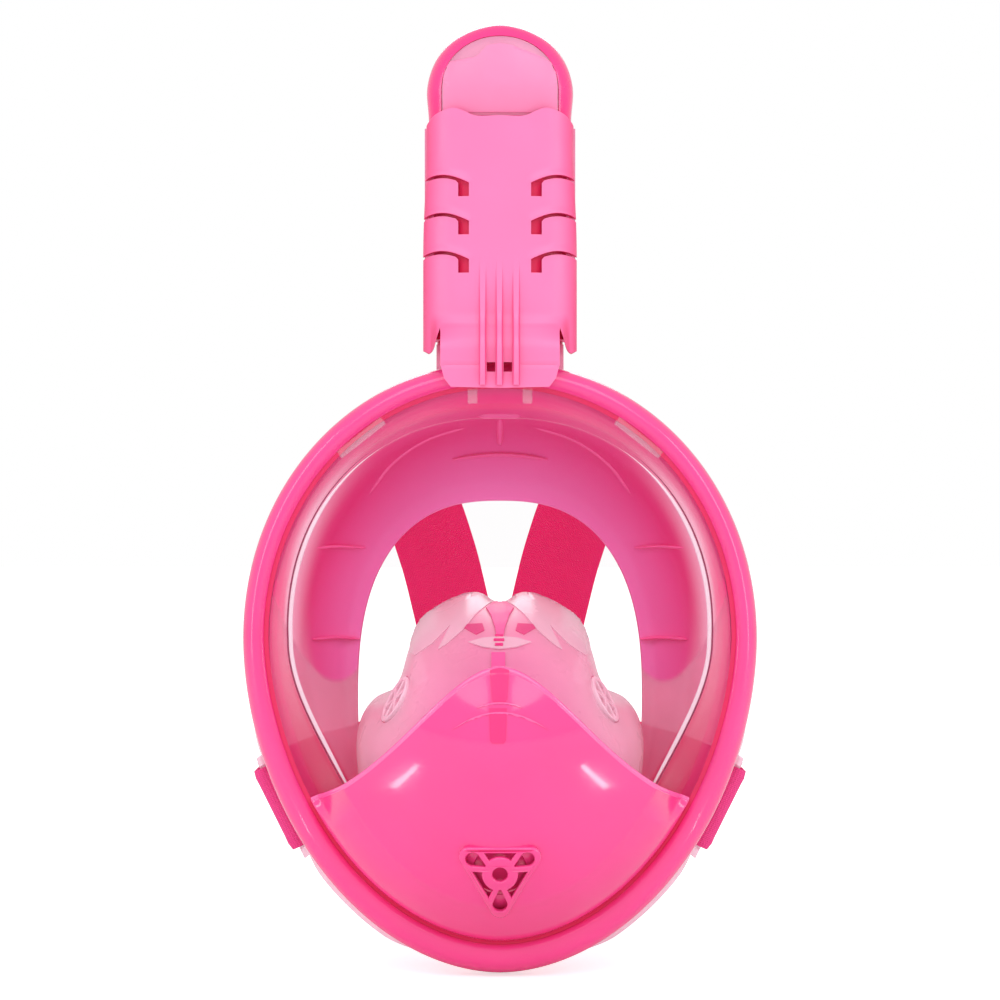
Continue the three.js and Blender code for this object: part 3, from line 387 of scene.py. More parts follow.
def place_solid(made, place, direction):
    """Turns an object made about the Z axis so that its Z axis lies along a direction, and moves it."""
    z = Vector(unit(direction))
    x = Vector((1, 0, 0)) if abs(z.z) > 0.99 else Vector((0, 0, 1)).cross(z).normalized()
    y = z.cross(x)
    turn = Matrix((x, y, z)).transposed().to_4x4()
    made.data.transform(Matrix.Translation(Vector(place) * MM) @ turn)
    return made


def plate(name, outline, holes, thick, bevel):
    """A flat plate with rounded edges and holes, from outlines in X and Y."""
    curve = bpy.data.curves.new(name, "CURVE")
    curve.dimensions = "2D"
    curve.fill_mode = "BOTH"
    curve.extrude = (thick / 2 - bevel) * MM
    curve.bevel_depth = bevel * MM
    curve.bevel_resolution = 2
    curve.offset = -bevel * MM
    for points in [outline, *holes]:
        line = curve.splines.new("POLY")
        line.points.add(len(points) - 1)
        for point, (x, y) in zip(line.points, points):
            point.co = (x * MM, y * MM, 0, 1)
        line.use_cyclic_u = True
    bent = bpy.data.objects.new(name, curve)
    bpy.context.scene.collection.objects.link(bent)
    bpy.context.view_layer.update()
    graph = bpy.context.evaluated_depsgraph_get()
    mesh = bpy.data.meshes.new_from_object(bent.evaluated_get(graph), depsgraph=graph)
    mesh.transform(Matrix.Translation((0, 0, thick / 2 * MM)))
    bpy.data.objects.remove(bent)
    bpy.data.curves.remove(curve)
    mesh.name = name
    made = bpy.data.objects.new(name, mesh)
    bpy.context.scene.collection.objects.link(made)
    outward(made)
    smooth_shade(made, 35)
    return made


def finish_piece(made, paint, body="mask", replaces=()):
    made.data.materials.clear()
    made.data.materials.append(paint)
    if replaces:
        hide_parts(*replaces)
    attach(made, body)
    return made


# ---- Materials ----


def linear(r, g, b):
    """A colour given as it looks on a screen, 0 to 255, as the shader wants it."""
    return tuple(((c / 255 + 0.055) / 1.055) ** 2.4 for c in (r, g, b)) + (1.0,)


class Shader:
    """A material's node tree, with short ways to add the nodes that these materials share."""

    def __init__(self, name):
        self.material = bpy.data.materials.new(name)
        self.material.use_nodes = True
        self.tree = self.material.node_tree
        self.main = self.tree.nodes["Principled BSDF"]
        self.out = self.tree.nodes["Material Output"]

    def node(self, kind, **settings):
        made = self.tree.nodes.new(kind)
        for key, value in settings.items():
            if key in made.inputs:
                made.inputs[key].default_value = value
            else:
                setattr(made, key, value)
        return made

    def link(self, a, b):
        self.tree.links.new(a, b)

    def maths(self, operation, a, b=0.0):
        made = self.node("ShaderNodeMath", operation=operation)
        for socket, value in zip(made.inputs, (a, b)):
            if isinstance(value, (int, float)):
                socket.default_value = value
            else:
                self.link(value, socket)
        return made.outputs[0]

    def noise(self, scale, detail=3.0, distortion=0.0):
        where = self.node("ShaderNodeTexCoord")
        made = self.node("ShaderNodeTexNoise", Scale=scale, Detail=detail, Distortion=distortion)
        self.link(where.outputs["Object"], made.inputs["Vector"])
        return made.outputs["Fac"]

    def spread(self, value, low, high, start=0.3, end=0.7):
        made = self.node("ShaderNodeMapRange")
        self.link(value, made.inputs["Value"])
        for name, number in (("From Min", start), ("From Max", end), ("To Min", low), ("To Max", high)):
            made.inputs[name].default_value = number
        return made.outputs[0]

    def blend(self, value, first, second):
        """From one colour to another. Each is a fixed colour or a socket."""
        made = self.node("ShaderNodeMix", data_type="RGBA")
        self.link(value, made.inputs["Factor"])
        ends = [s for s in made.inputs if s.type == "RGBA"]
        for end, colour in zip(ends, (first, second)):
            if isinstance(colour, tuple):
                end.default_value = colour
            else:
                self.link(colour, end)
        return [s for s in made.outputs if s.type == "RGBA"][0]

    def mixed(self, share, first, second):
        """A mix of two shaders. The share of the second is a number or a socket."""
        made = self.node("ShaderNodeMixShader")
        if isinstance(share, float):
            made.inputs[0].default_value = share
        else:
            self.link(share, made.inputs[0])
        self.link(first, made.inputs[1])
        self.link(second, made.inputs[2])
        return made.outputs[0]

    def clear(self, colour):
        return self.node("ShaderNodeBsdfTransparent", Color=colour).outputs[0]

    def set(self, **values):
        """Sets inputs of the main shader. Spaces in their names are written as underscores."""
        for name, value in values.items():
            self.main.inputs[name.replace("_", " ")].default_value = value

    def edge_on(self, start, end):
        """0 where the surface faces the eye, 1 where it is seen edge on."""
        facing = self.node("ShaderNodeLayerWeight")
        return self.spread(facing.outputs["Facing"], 0, 1, start, end)

    def not_lighting(self):
        """0 for the rays that light what is behind, 1 for the rest."""
        path = self.node("ShaderNodeLightPath")
        lighting = self.maths("MAXIMUM", path.outputs["Is Shadow Ray"], path.outputs["Is Diffuse Ray"])
        return self.maths("SUBTRACT", 1.0, lighting)

    def bump(self, height, distance, strength=1.0, after=None):
        made = self.node("ShaderNodeBump", Strength=strength, Distance=distance)
        self.link(height, made.inputs["Height"])
        if after is not None:
            self.link(after, made.inputs["Normal"])
        return made.outputs["Normal"]


def shades(colour, variation):
    """A colour made a little darker and a little lighter."""
    darker = tuple(c * (1 - variation) for c in colour[:3])
    lighter = tuple(min(1, c * (1 + variation)) for c in colour[:3])
    return darker + (1,), lighter + (1,)


def moulded(name, colour, roughness, coat=0.0, grain=0.004, variation=0.04, edge=None,
            edge_shade_range=(0.35, 0.95)):
    """Coloured plastic from a mould: faint waviness, faint cloudiness, rubbed patches, and a deeper edge
    that is painted shade.
    """
    s = Shader(name)
    cloudy = s.blend(s.spread(s.noise(28), 0, 1), *shades(colour, variation))
    # The edge colour is painted shade: a deeper pink where the surface turns edge on.
    if edge:
        cloudy = s.blend(s.edge_on(*edge_shade_range), cloudy, edge)
    s.link(cloudy, s.main.inputs["Base Color"])
    s.link(s.spread(s.noise(60, 5), roughness * 0.8, roughness * 1.25), s.main.inputs["Roughness"])
    waves = s.bump(s.noise(45, 1), 0.00025, 0.35)
    s.link(s.bump(s.noise(2600, 2), 0.00002, grain * 60, waves), s.main.inputs["Normal"])
    s.set(Coat_Weight=coat, Coat_Roughness=0.06, IOR=1.5)
    return s.material


def clear_plastic(name, colour, roughness, veil, rim):
    """A thin clear wall: it hardly shows face on, and turns whitish and shiny edge on."""
    s = Shader(name)
    s.set(Base_Color=linear(255, 236, 244), Coat_Weight=0.5, Coat_Roughness=0.03)
    s.link(s.spread(s.noise(90, 4), roughness * 0.7, roughness * 1.3), s.main.inputs["Roughness"])
    s.link(s.bump(s.noise(40, 2), 0.0001, 0.2), s.main.inputs["Normal"])
    seen = s.maths("ADD", s.maths("MULTIPLY", s.edge_on(0.5, 1.0), rim), veil)
    seen = s.maths("MULTIPLY", seen, s.not_lighting())
    s.link(s.mixed(seen, s.clear(colour), s.main.outputs[0]), s.out.inputs["Surface"])
    return s.material


# The opaque part of the skirt ends in a round lobe on each side: its middle, half width, lowest point, how
# much higher it ends at half its width to a side, and a limit that keeps the skirt's top opaque.
LOBE_X, LOBE_HALF, LOBE_Z, LOBE_RISE, LOBE_LIMIT = 57, 10, -16.5, 8, 4.0


def skirt_silicone(name, deep, light, edge, low, whitish_highlight, outer, see):
    """Opaque silicone, with painted shade deep in the mask and painted light round the face opening, a
    lighter painted sheen edge on, and frosted clear below two rounded lobes.

    The UV map gives how far each point takes a painted whitish highlight under the visor's edge, and how far
    it is outside that edge, where the outer pink is painted light seen through the visor's side wall."""
    s = Shader(name)
    where = s.node("ShaderNodeTexCoord")
    parts = s.node("ShaderNodeSeparateXYZ")
    s.link(where.outputs["Object"], parts.inputs[0])
    x, z = parts.outputs[0], parts.outputs[2]
    across = s.maths("MULTIPLY", x, 1 / MM / OPENING_HALF_WIDTH)
    up = s.maths("MULTIPLY", s.maths("ADD", z, -OPENING_Z * MM), 1 / MM / OPENING_RISE)
    reach = s.maths("ADD", s.maths("MULTIPLY", across, across), s.maths("MULTIPLY", up, up))
    reach = s.maths("SQRT", reach)
    reach = s.maths("ADD", reach, s.maths("MULTIPLY", s.noise(30), 0.06))
    # Painted shade deep in the skirt, fading to painted light round the face opening.
    colour = s.blend(s.spread(reach, 1, 0, 1.0, 1.45), deep, light)

    lobe = s.maths("MULTIPLY", s.maths("ABSOLUTE", x), 1 / MM / LOBE_HALF)
    lobe = s.maths("SUBTRACT", lobe, LOBE_X / LOBE_HALF)
    lobe = s.maths("MINIMUM", s.maths("MULTIPLY", lobe, lobe), LOBE_LIMIT)
    over = s.maths("SUBTRACT", s.maths("MULTIPLY", z, 1 / MM), s.maths("MULTIPLY", lobe, LOBE_RISE))
    frosted = s.spread(over, 1, 0, LOBE_Z - 1, LOBE_Z + 1.2)
    zones = s.node("ShaderNodeSeparateXYZ")
    s.link(s.node("ShaderNodeUVMap", uv_map="zones").outputs[0], zones.inputs[0])
    # The first UV number adds a painted whitish highlight under the visor's edge.
    colour = s.blend(zones.outputs[0], colour, whitish_highlight)
    # Edge on, the skirt turns a lighter pink: a painted sheen.
    colour = s.blend(s.edge_on(0.55, 1.0), colour, edge)
    cloudy = s.blend(s.spread(s.noise(35), 0, 1), *shades(low, 0.12))
    # Outside the visor's edge line the outer pink is painted light, where the skirt is seen through the
    # visor's side wall.
    s.link(s.blend(zones.outputs[1], s.blend(frosted, colour, cloudy), outer), s.main.inputs["Base Color"])
    s.link(s.spread(s.noise(60, 5), 0.42, 0.6), s.main.inputs["Roughness"])
    waves = s.bump(s.noise(45, 1), 0.00025, 0.35)
    s.link(s.bump(s.noise(2600, 2), 0.00002, 0.5, waves), s.main.inputs["Normal"])
    see = s.maths("MULTIPLY", frosted, see)
    s.link(s.mixed(see, s.main.outputs[0], s.clear(linear(255, 226, 238))), s.out.inputs["Surface"])
    return s.material


LIGHT_LET_THROUGH = 0.6


def translucent(name, colour, see, through, roughness=0.38, glow=0.35, edge=None, variation=0.05):
    """Silicone or frosted plastic that lets some of what is behind it show."""
    s = Shader(name)
    cloudy = s.blend(s.spread(s.noise(35), 0, 1), *shades(colour, variation))
    # Edge on the colour turns to the edge colour: painted shade where that is deeper, a painted sheen where
    # it is lighter.
    if edge:
        cloudy = s.blend(s.edge_on(0.3, 0.9), cloudy, edge)
    s.link(cloudy, s.main.inputs["Base Color"])
    s.link(s.spread(s.noise(80, 4), roughness * 0.8, roughness * 1.2), s.main.inputs["Roughness"])
    s.link(s.bump(s.noise(120, 2), 0.0001, 0.3), s.main.inputs["Normal"])
    s.set(Coat_Weight=0.25, Coat_Roughness=0.2)
    glowing = s.node("ShaderNodeBsdfTranslucent")
    s.link(cloudy, glowing.inputs["Color"])
    body = s.mixed(glow, s.main.outputs[0], glowing.outputs[0])
    lit_through = s.maths("MULTIPLY", s.maths("SUBTRACT", 1.0, s.not_lighting()), LIGHT_LET_THROUGH)
    see = s.maths("MAXIMUM", lit_through, see)
    s.link(s.mixed(see, body, s.clear(through)), s.out.inputs["Surface"])
    return s.material


COLUMN_PITCH, COURSE_PITCH = 1.3, 0.9


def webbing(name, colour):
    """Knitted elastic: columns of stitches along the strap, a little slack between them, and a firm edge."""
    s = Shader(name)
    uv = s.node("ShaderNodeUVMap", uv_map="strip")
    parts = s.node("ShaderNodeSeparateXYZ")
    s.link(uv.outputs[0], parts.inputs[0])
    across, along = parts.outputs[0], parts.outputs[1]
    turns = 2 * math.pi
    column = s.maths("SINE", s.maths("MULTIPLY", across, turns / COLUMN_PITCH))
    lean = s.maths("MULTIPLY", column, 1.1)
    course = s.maths("SINE", s.maths("ADD", s.maths("MULTIPLY", along, turns / COURSE_PITCH), lean))
    fine = s.maths("SINE", s.maths("MULTIPLY", across, turns / (COLUMN_PITCH / 2)))
    height = s.maths("MULTIPLY", s.maths("ABSOLUTE", column), 0.7)
    height = s.maths("ADD", height, s.maths("MULTIPLY", course, 0.35))
    height = s.maths("ADD", height, s.maths("MULTIPLY", fine, 0.15))
    knit = s.spread(height, 0, 1, -0.3, 1.1)
    # The knit is painted darker where it is low and lighter where it is high: painted shade in its hollows,
    # mixed with a random mottle.
    knit_shade_and_mottle = s.maths("ADD", s.maths("MULTIPLY", knit, 0.8), s.maths("MULTIPLY", s.noise(700, 4), 0.25))
    cloth = s.blend(knit_shade_and_mottle, *shades(colour, 0.16))
    s.link(cloth, s.main.inputs["Base Color"])
    s.link(s.bump(s.noise(3500, 3), 0.00006, 0.4, s.bump(height, 0.0002, 0.8)), s.main.inputs["Normal"])
    s.link(s.spread(s.noise(300), 0.72, 0.92), s.main.inputs["Roughness"])
    s.set(Specular_IOR_Level=0.2, Sheen_Weight=0.08, Sheen_Roughness=0.4)
    s.set(Sheen_Tint=linear(255, 150, 190))
    return s.material


def brushed_pin(name):
    s = Shader(name)
    s.set(Base_Color=(0.62, 0.63, 0.65, 1), Metallic=1.0)
    s.link(s.spread(s.noise(900, 4), 0.22, 0.4), s.main.inputs["Roughness"])
    s.link(s.bump(s.noise(2500, 2), 0.00003, 0.4), s.main.inputs["Normal"])
    return s.material


# The edge colours of these plastics are painted shade, deeper where a surface turns edge on.
PINK = moulded("pink_gloss_plastic", linear(253, 66, 146), 0.2, coat=0.5, edge=linear(238, 48, 122))
CHIN_PINK = moulded("pink_chin_plastic", linear(254, 66, 148), 0.15, coat=0.7, edge=linear(234, 44, 116))
# A painted highlight: the lighter pink along the chin cover's upper edge and on the arches over it.
CHIN_HIGHLIGHT = moulded("pink_chin_painted_highlight", linear(255, 100, 172), 0.12, coat=0.8)
# A painted dark reflection: the deeper pink band down the middle of the chin cover.
CHIN_DARK_REFLECTION = moulded("pink_chin_painted_reflection", linear(250, 46, 128), 0.15, coat=0.5)
SATIN = moulded("pink_satin_plastic", linear(253, 124, 180), 0.42, grain=0.012, edge=linear(240, 54, 126),
                edge_shade_range=(0.12, 0.75))
CAP_PINK = moulded("pink_cap_plastic", linear(246, 48, 134), 0.22, coat=0.4, edge=linear(240, 46, 122))
# A lighter pink: a painted highlight on the skirt ribs' lit faces; it is also used on the nose bridge and
# stem.
SKIRT_LIGHT = moulded("pink_silicone_and_rib_highlight", linear(248, 92, 164), 0.45, grain=0.01)
MARK = moulded("pink_nose_mark_silicone", linear(236, 40, 130), 0.45, grain=0.01)
# All the skirt's colours but the frosted low one hold painted light and shade.
SKIRT = skirt_silicone("pink_skirt_silicone", deep=linear(228, 16, 120), light=linear(255, 128, 206),
                       edge=linear(252, 96, 176), low=linear(250, 148, 186), whitish_highlight=linear(255, 200, 224),
                       outer=linear(250, 66, 140), see=0.24)
LENS = clear_plastic("clear_lens_plastic", (0.995, 0.99, 0.992, 1), 0.03, 0.006, 0.32)
CLIP = clear_plastic("clear_clip_plastic", (0.97, 0.95, 0.96, 1), 0.06, 0.12, 0.6)
FROSTED = translucent("frosted_clear_plastic", linear(250, 226, 238), 0.4, linear(255, 240, 247), 0.3)
# The tube's deeper edge colour is painted shade.
TUBE = translucent("frosted_tube_plastic", linear(248, 176, 208), 0.3, linear(255, 215, 234), 0.3,
                   edge=linear(240, 110, 165))
# Deep pink painted shade: the dark line inside the front ring, and the tube's faces seen through the cover's
# slots.
DEEP_SHADE = moulded("deep_pink_painted_shade", linear(236, 36, 100), 0.4)
WINDOW = translucent("frosted_window_plastic", linear(255, 172, 210), 0.25, linear(255, 205, 230), 0.3,
                     glow=0.2)
PANEL = translucent("frosted_panel_plastic", linear(255, 148, 196), 0.1, linear(255, 205, 230), 0.4,
                    glow=0.1)
# The pocket's and the wings' whitish edge colours are a painted sheen.
POCKET = translucent("pocket_silicone", linear(251, 134, 190), 0.22, linear(255, 226, 238), 0.3, glow=0.15,
                     edge=linear(255, 226, 238), variation=0.08)
PETAL = translucent("pocket_wing_silicone", linear(255, 206, 228), 0.3, linear(255, 228, 240), 0.25,
                    glow=0.1, edge=linear(255, 238, 246))
# Painted light along the visor's corner: a whitish painted highlight, and a dark painted line of shade.
VISOR_EDGE_HIGHLIGHT = translucent("painted_corner_highlight", linear(255, 236, 245), 0.35, linear(255, 240, 247), 0.12, glow=0.15)
VISOR_EDGE_SHADE = translucent("painted_corner_shade", linear(140, 48, 84), 0.25, linear(255, 200, 222), 0.15,
                   glow=0.1)
SPOKE = moulded("valve_seat_plastic", linear(255, 206, 226), 0.4)
VALVE = translucent("valve_silicone", linear(244, 100, 165), 0.15, linear(255, 225, 238), 0.4)
WEBBING = webbing("knitted_webbing", linear(244, 22, 108))
LOOP = webbing("knitted_loop_webbing", linear(246, 72, 142))
THREAD = moulded("stitching_thread", linear(250, 120, 170), 0.7)
STEEL = brushed_pin("hinge_pin_steel")


# ---- Camera, light and floor ----


# In metres: the camera's distance from the frame, the width that it sees there, and its height.
CAMERA_DISTANCE, CAMERA_SPAN, EYE_HEIGHT = 1.0, 0.335, 0.0469
FLOOR_SIZE = 6.0


def camera_and_stage():
    """The camera looks straight at the mask's front, level."""
    data = bpy.data.cameras.new("camera")
    data.sensor_width = 36
    data.lens = data.sensor_width * CAMERA_DISTANCE / CAMERA_SPAN
    camera = bpy.data.objects.new("camera", data)
    camera.location = (0, FRAME_Y * MM - CAMERA_DISTANCE, EYE_HEIGHT)
    camera.rotation_euler = (math.pi / 2, 0, 0)
    bpy.context.scene.collection.objects.link(camera)
    bpy.context.scene.camera = camera
    bpy.context.scene.view_settings.view_transform = "Standard"

    studio_world()

    floor_z = CAD_BOX[0].z - 0.001
    corners = np.array([(-1, -1), (1, -1), (1, 1), (-1, 1)]) * FLOOR_SIZE / MM
    floor = mesh_object("floor", xyz(corners[:, 0], corners[:, 1], floor_z / MM), [(0, 1, 2, 3)])
    paint = Shader("floor_white")
    mottled = paint.blend(paint.noise(3), (0.8, 0.8, 0.8, 1), (0.82, 0.82, 0.82, 1))
    paint.link(mottled, paint.main.inputs["Base Color"])
    paint.set(Roughness=0.9, Emission_Color=(1, 1, 1, 1))
    paint.link(seen_or_bounced(paint.tree, seen=0.6, bounced=0.0), paint.main.inputs["Emission Strength"])
    floor.data.materials.append(paint.material)

    for name, side in SIDES.items():
        lamp(f"front_light_{name}", (side * 0.55, -1.0, 1.05), width=0.9, height=0.9, watts=4.4)
        lamp(f"side_light_{name}", (side * 1.15, -0.45, 0.35), width=0.25, height=1.0, watts=2.4)
        glint(f"chin_glint_{name}", side, width=0.003, height=0.022, watts=0.0026)
    lamp("back_light", (0, 1.3, 0.9), width=0.9, height=0.6, watts=4.0)


def studio_world():
    """A white room that lights the model a little less than it shows."""
    world = bpy.data.worlds.new("studio")
    world.use_nodes = True
    tree = world.node_tree
    strength = seen_or_bounced(tree, seen=1.0, bounced=0.74)
    tree.links.new(strength, tree.nodes["Background"].inputs["Strength"])
    tree.nodes["Background"].inputs["Color"].default_value = (1, 1, 1, 1)
    bpy.context.scene.world = world


def seen_or_bounced(tree, seen, bounced):
    """One strength for rays that come straight or through clear plastic, another for those that bounce."""
    path = tree.nodes.new("ShaderNodeLightPath")
    either = tree.nodes.new("ShaderNodeMath")
    either.operation = "MAXIMUM"
    tree.links.new(path.outputs["Is Diffuse Ray"], either.inputs[0])
    tree.links.new(path.outputs["Is Reflection Ray"], either.inputs[1])
    spread = tree.nodes.new("ShaderNodeMapRange")
    tree.links.new(either.outputs[0], spread.inputs["Value"])
    spread.inputs["To Min"].default_value = seen
    spread.inputs["To Max"].default_value = bounced
    return spread.outputs[0]


LAMPS_AIM = Vector((0, 0, 0.03))


def lamp(name, place, width, height, watts):
    data = bpy.data.lights.new(name, "AREA")
    data.shape = "RECTANGLE"
    data.size, data.size_y = width, height
    data.energy = watts
    made = bpy.data.objects.new(name, data)
    made.location = place
    aim = LAMPS_AIM - Vector(place)
    made.rotation_euler = aim.to_track_quat("-Z", "Y").to_euler()
    made.visible_camera = False
    bpy.context.scene.collection.objects.link(made)
    return made


# Where the two glints lie on the chin cover, how much they lean in radians, and how far off their lamps are,
# which is near enough for them to stand above the floor.
GLINT_X, GLINT_Z, GLINT_LEAN, GLINT_DISTANCE = 30, -42.5, 0.7, 110


def glint(name, side, width, height, watts):
    """A narrow lamp that the chin cover mirrors towards the camera."""
    x, z = side * GLINT_X, GLINT_Z
    step = 0.5
    at = lambda dx, dz: xyz(x + dx, cover_surface(x + dx, z + dz, COVER_GAP + COVER_WALL), z + dz)
    out = unit(np.cross(at(step, 0) - at(-step, 0), at(0, step) - at(0, -step)))
    sight = unit(at(0, 0) - np.array([0, FRAME_Y - CAMERA_DISTANCE / MM, EYE_HEIGHT / MM]))
    way = sight - 2 * np.dot(sight, out) * out
    made = lamp(name, tuple((at(0, 0) + way * GLINT_DISTANCE) * MM), width, height, watts)
    made.visible_diffuse = False
    made.rotation_euler.rotate_axis("Z", side * GLINT_LEAN)


# ---- Frame ----

FRAME_STEPS = 300


def frame_sweep(name, count, profile, sharp=40):
    """A ring round the frame. The profile gives its closed outline, out and back, at an angle."""
    rows = []
    for angle in round_angles(count):
        section = profile(angle)
        rows.append(frame_point(angle, section[:, 0], section[:, 1]))
    return sweep(name, np.array(rows), sharp=sharp)


def front_frame():
    def profile(angle):
        w = float(band_width(angle))
        corners = [
            (0, 6), (0, -3.2), (-3.2, -6.6), (-w + 1.6, -6.0), (-w, -4.4), (-w, -2), (-HOOK, -2), (-HOOK, 6)
        ]
        return rounded(corners, [0.5, 2.6, 2.6, 1.1, 0.9, 0.3, 0.3, 0.4], 5)

    made = frame_sweep("front_frame_ring", FRAME_STEPS, profile)
    return finish_piece(made, PINK, replaces=["front_frame"])


def frame_shade_line():
    """A thin deep pink sheet inside the front ring, over the visor's flange: painted shade along the ring's
    inner edge.
    """
    def profile(angle):
        w = float(band_width(angle))
        corners = [(-w + 0.4, -3.8), (-w - 1.5, -3.1), (-w - 1.5, -2.7), (-w + 0.4, -2.7)]
        return rounded(corners, [0.2, 0.15, 0.15, 0.1], 2)

    made = frame_sweep("front_frame_painted_shade_line", FRAME_STEPS, profile, 60)
    return finish_piece(made, DEEP_SHADE)


def anchor(name):
    high, side = name.split("_")
    angle = math.radians(UPPER_ANCHOR if high == "upper" else LOWER_ANCHOR)
    if side == "left":
        angle = math.pi - angle
    place = frame_point(angle, UPPER_BAR_OUT if high == "upper" else LOWER_BAR_OUT, BAR_DEPTH)
    along = frame_point(angle + 0.05, 0, 0) - frame_point(angle - 0.05, 0, 0)
    along[1] = 0
    return place, unit(along)


ANCHORS = [f"{high}_{side}" for high in ("upper", "lower") for side in SIDES]
# An ear holds each end of a bar. EAR_OUTLINE is out and back from the bar, and None reaches to the ring.
EAR, BAR_SHOWN = 3, 1.3
EAR_OUTLINE = ((1.2, 1.6), (-3.6, 1.6), (-3.6, None), (0.2, None))
BAR_HALF = STRAP_WIDTH / 2 + 0.8


def rear_frame():
    def profile(angle):
        at_loop = math.degrees(math.asin(max(-1, min(1, math.sin(angle)))))
        clear_of_loop = 1 - math.exp(-(((at_loop - LOWER_ANCHOR) / 11) ** 4))
        below = smooth(-np.sin(angle), 0.1, 0.62) * smooth(np.sin(angle), -1, -0.93)
        lip = float(mix(-0.6, 2.6, below * clear_of_loop))
        corners = [
            (-SLOT, HOOP_FRONT),
            (HOOP_INNER, HOOP_FRONT),
            (HOOP_INNER, HOOP_BACK),
            (lip, HOOP_BACK),
            (lip, HOOP_FRONT + 2),
            (-SLOT, HOOP_FRONT + 2),
        ]
        return rounded(corners, [0.2, 0.5, 0.7, 0.9, 0.7, 0.2], 3)

    made = frame_sweep("rear_frame_ring", 240, profile)
    for name in ANCHORS:
        place, along = anchor(name)
        out = unit([place[0], 0, place[2]])
        for side in (-1, 1):
            ends = []
            for reach in (BAR_HALF, BAR_HALF + EAR):
                middle = place + along * side * reach
                corners = []
                for o, b in EAR_OUTLINE:
                    q = middle + out * o
                    q[1] = saddle_y(q[0], q[2]) + HOOP_BACK - 1.4 if b is None else q[1] + b
                    corners.append(q)
                ends.append(rounded(corners, [1.1, 1.1, 0.4, 0.2], 4))
            combine(made, sweep("ear", np.array(ends), closed=False), "UNION")
        reach = along * (BAR_HALF + EAR / 2)
        combine(made, rod("strap_bar", place - reach, place + reach, BAR_SHOWN), "UNION")
    smooth_shade(made, 45)
    return finish_piece(made, FROSTED, replaces=["rear_frame"])


# ---- Visor, its clips and the chin cover ----


VISOR_HOLE = 11.5


def visor():
    angles = round_angles(FRAME_STEPS)
    stations = [-SLOT, -0.5 * (SLOT + band_width(angles))]

    def rows(inner):
        """The visor's surface from its edge to its middle, moved back and in by a wall thickness."""
        back = inner - FLANGE_FRONT
        high = 0.8 if inner == 0 else 0
        ridge = [(0.35, 0), (0.55, high), (1.25, high), (1.45, 0)]
        base = frame_point(angles, -wall_base(angles) - inner, back)
        top = frame_point(angles, -wall_top(angles) - inner, 0)
        top[:, 1] = face_y(top[:, 0], top[:, 2]) + inner
        before = frame_point(angles, -SLOT - 1.2, back)
        lines = [frame_point(angles, s, back) for s in stations]
        lines += [frame_point(angles, -band_width(angles) - o, back - h) for o, h in ridge]
        lines += rounded_corner(before, base, top, 2.2 - inner * 0.6)
        inside = xyz(top[:, 0] * 0.9, 0, mix(FACE_CENTRE_Z, top[:, 2], 0.9))
        inside[:, 1] = face_y(inside[:, 0], inside[:, 2]) + inner
        lines += rounded_corner(base, top, inside, 3.4 - inner)
        for k in (0.86, 0.8, 0.73, 0.66, 0.58, 0.5, 0.42, 0.34, 0.26, 0.18, 0.1, 0.04):
            x, z = top[:, 0] * k, mix(FACE_CENTRE_Z, top[:, 2], k)
            lines.append(xyz(x, face_y(x, z) + inner, z))
        return np.array(lines)

    front, back = rows(0), rows(WALL)
    made = shell("visor_shell", front, back, wrap=True, sharp=180, domed=True)
    hole = rod("hole", valve_place(-12), valve_place(8), VISOR_HOLE, 64)
    combine(made, hole, "DIFFERENCE")
    smooth_shade(made, 50)
    return finish_piece(made, LENS, replaces=["visor_lens"])


def edge_line(angle):
    """How far out from the middle the corner between the visor's face and its wall runs."""
    return frame_radius(angle) - wall_top(angle)


# Where the edge's marks fade in, by how far to the side an angle looks.
AT_SIDE = (0.5, 0.92)


def visor_edge(name, inward, wide, deep, paint):
    """A thin sweep along the visor's corner, which thins out towards the top. It carries painted light: a
    whitish highlight, and with the dark paint a line of shade.
    """
    rows = []
    for angle in round_angles(FRAME_STEPS):
        share = 0.02 + 0.98 * smooth(abs(math.cos(angle)), *AT_SIDE)
        ring = [(wide * share * math.cos(a), deep * share * math.sin(a)) for a in round_angles(10)]
        section = np.array(ring)
        r = edge_line(angle) - inward + section[:, 0]
        x, z = r * math.cos(angle), r * math.sin(angle)
        rows.append(xyz(x, face_y(x, z) + 3.6 + section[:, 1], z))
    made = sweep(name, np.array(rows), sharp=180)
    return finish_piece(made, paint)


def rounded_corner(before, corner, after, radius, steps=4):
    """Rows of points that round a corner line between two others."""
    a = corner + unit(before - corner) * radius
    b = corner + unit(after - corner) * radius
    return [(1 - t) ** 2 * a + 2 * t * (1 - t) * corner + t * t * b for t in np.linspace(0, 1, steps + 1)]


FLANK_WIDTH, FLANK_POWER = 18, 2.3
# Where the cover's upper edge meets the frame, in degrees, so that its corners come to a point.
COVER_ENDS = 220.2
# The second number is the width of the painted highlight along the chin cover's upper edge.
COVER_INSET, UPPER_HIGHLIGHT_WIDTH = 1.4, 1.35
# How far in front of the visor the cover's outer side lies.
COVER_LIFT = COVER_GAP + COVER_WALL + 0.3
# The round room that the lifted flap needs behind the grille.
FLAP_ROOM = 8.8
GRILLE_Z, GRILLE_CORNER, GRILLE_THICK = -74, 3.2, 1.9
GRILLE_CORNERS = [(0, -12.6), (10.2, 5.75), (-10.2, 5.75)]


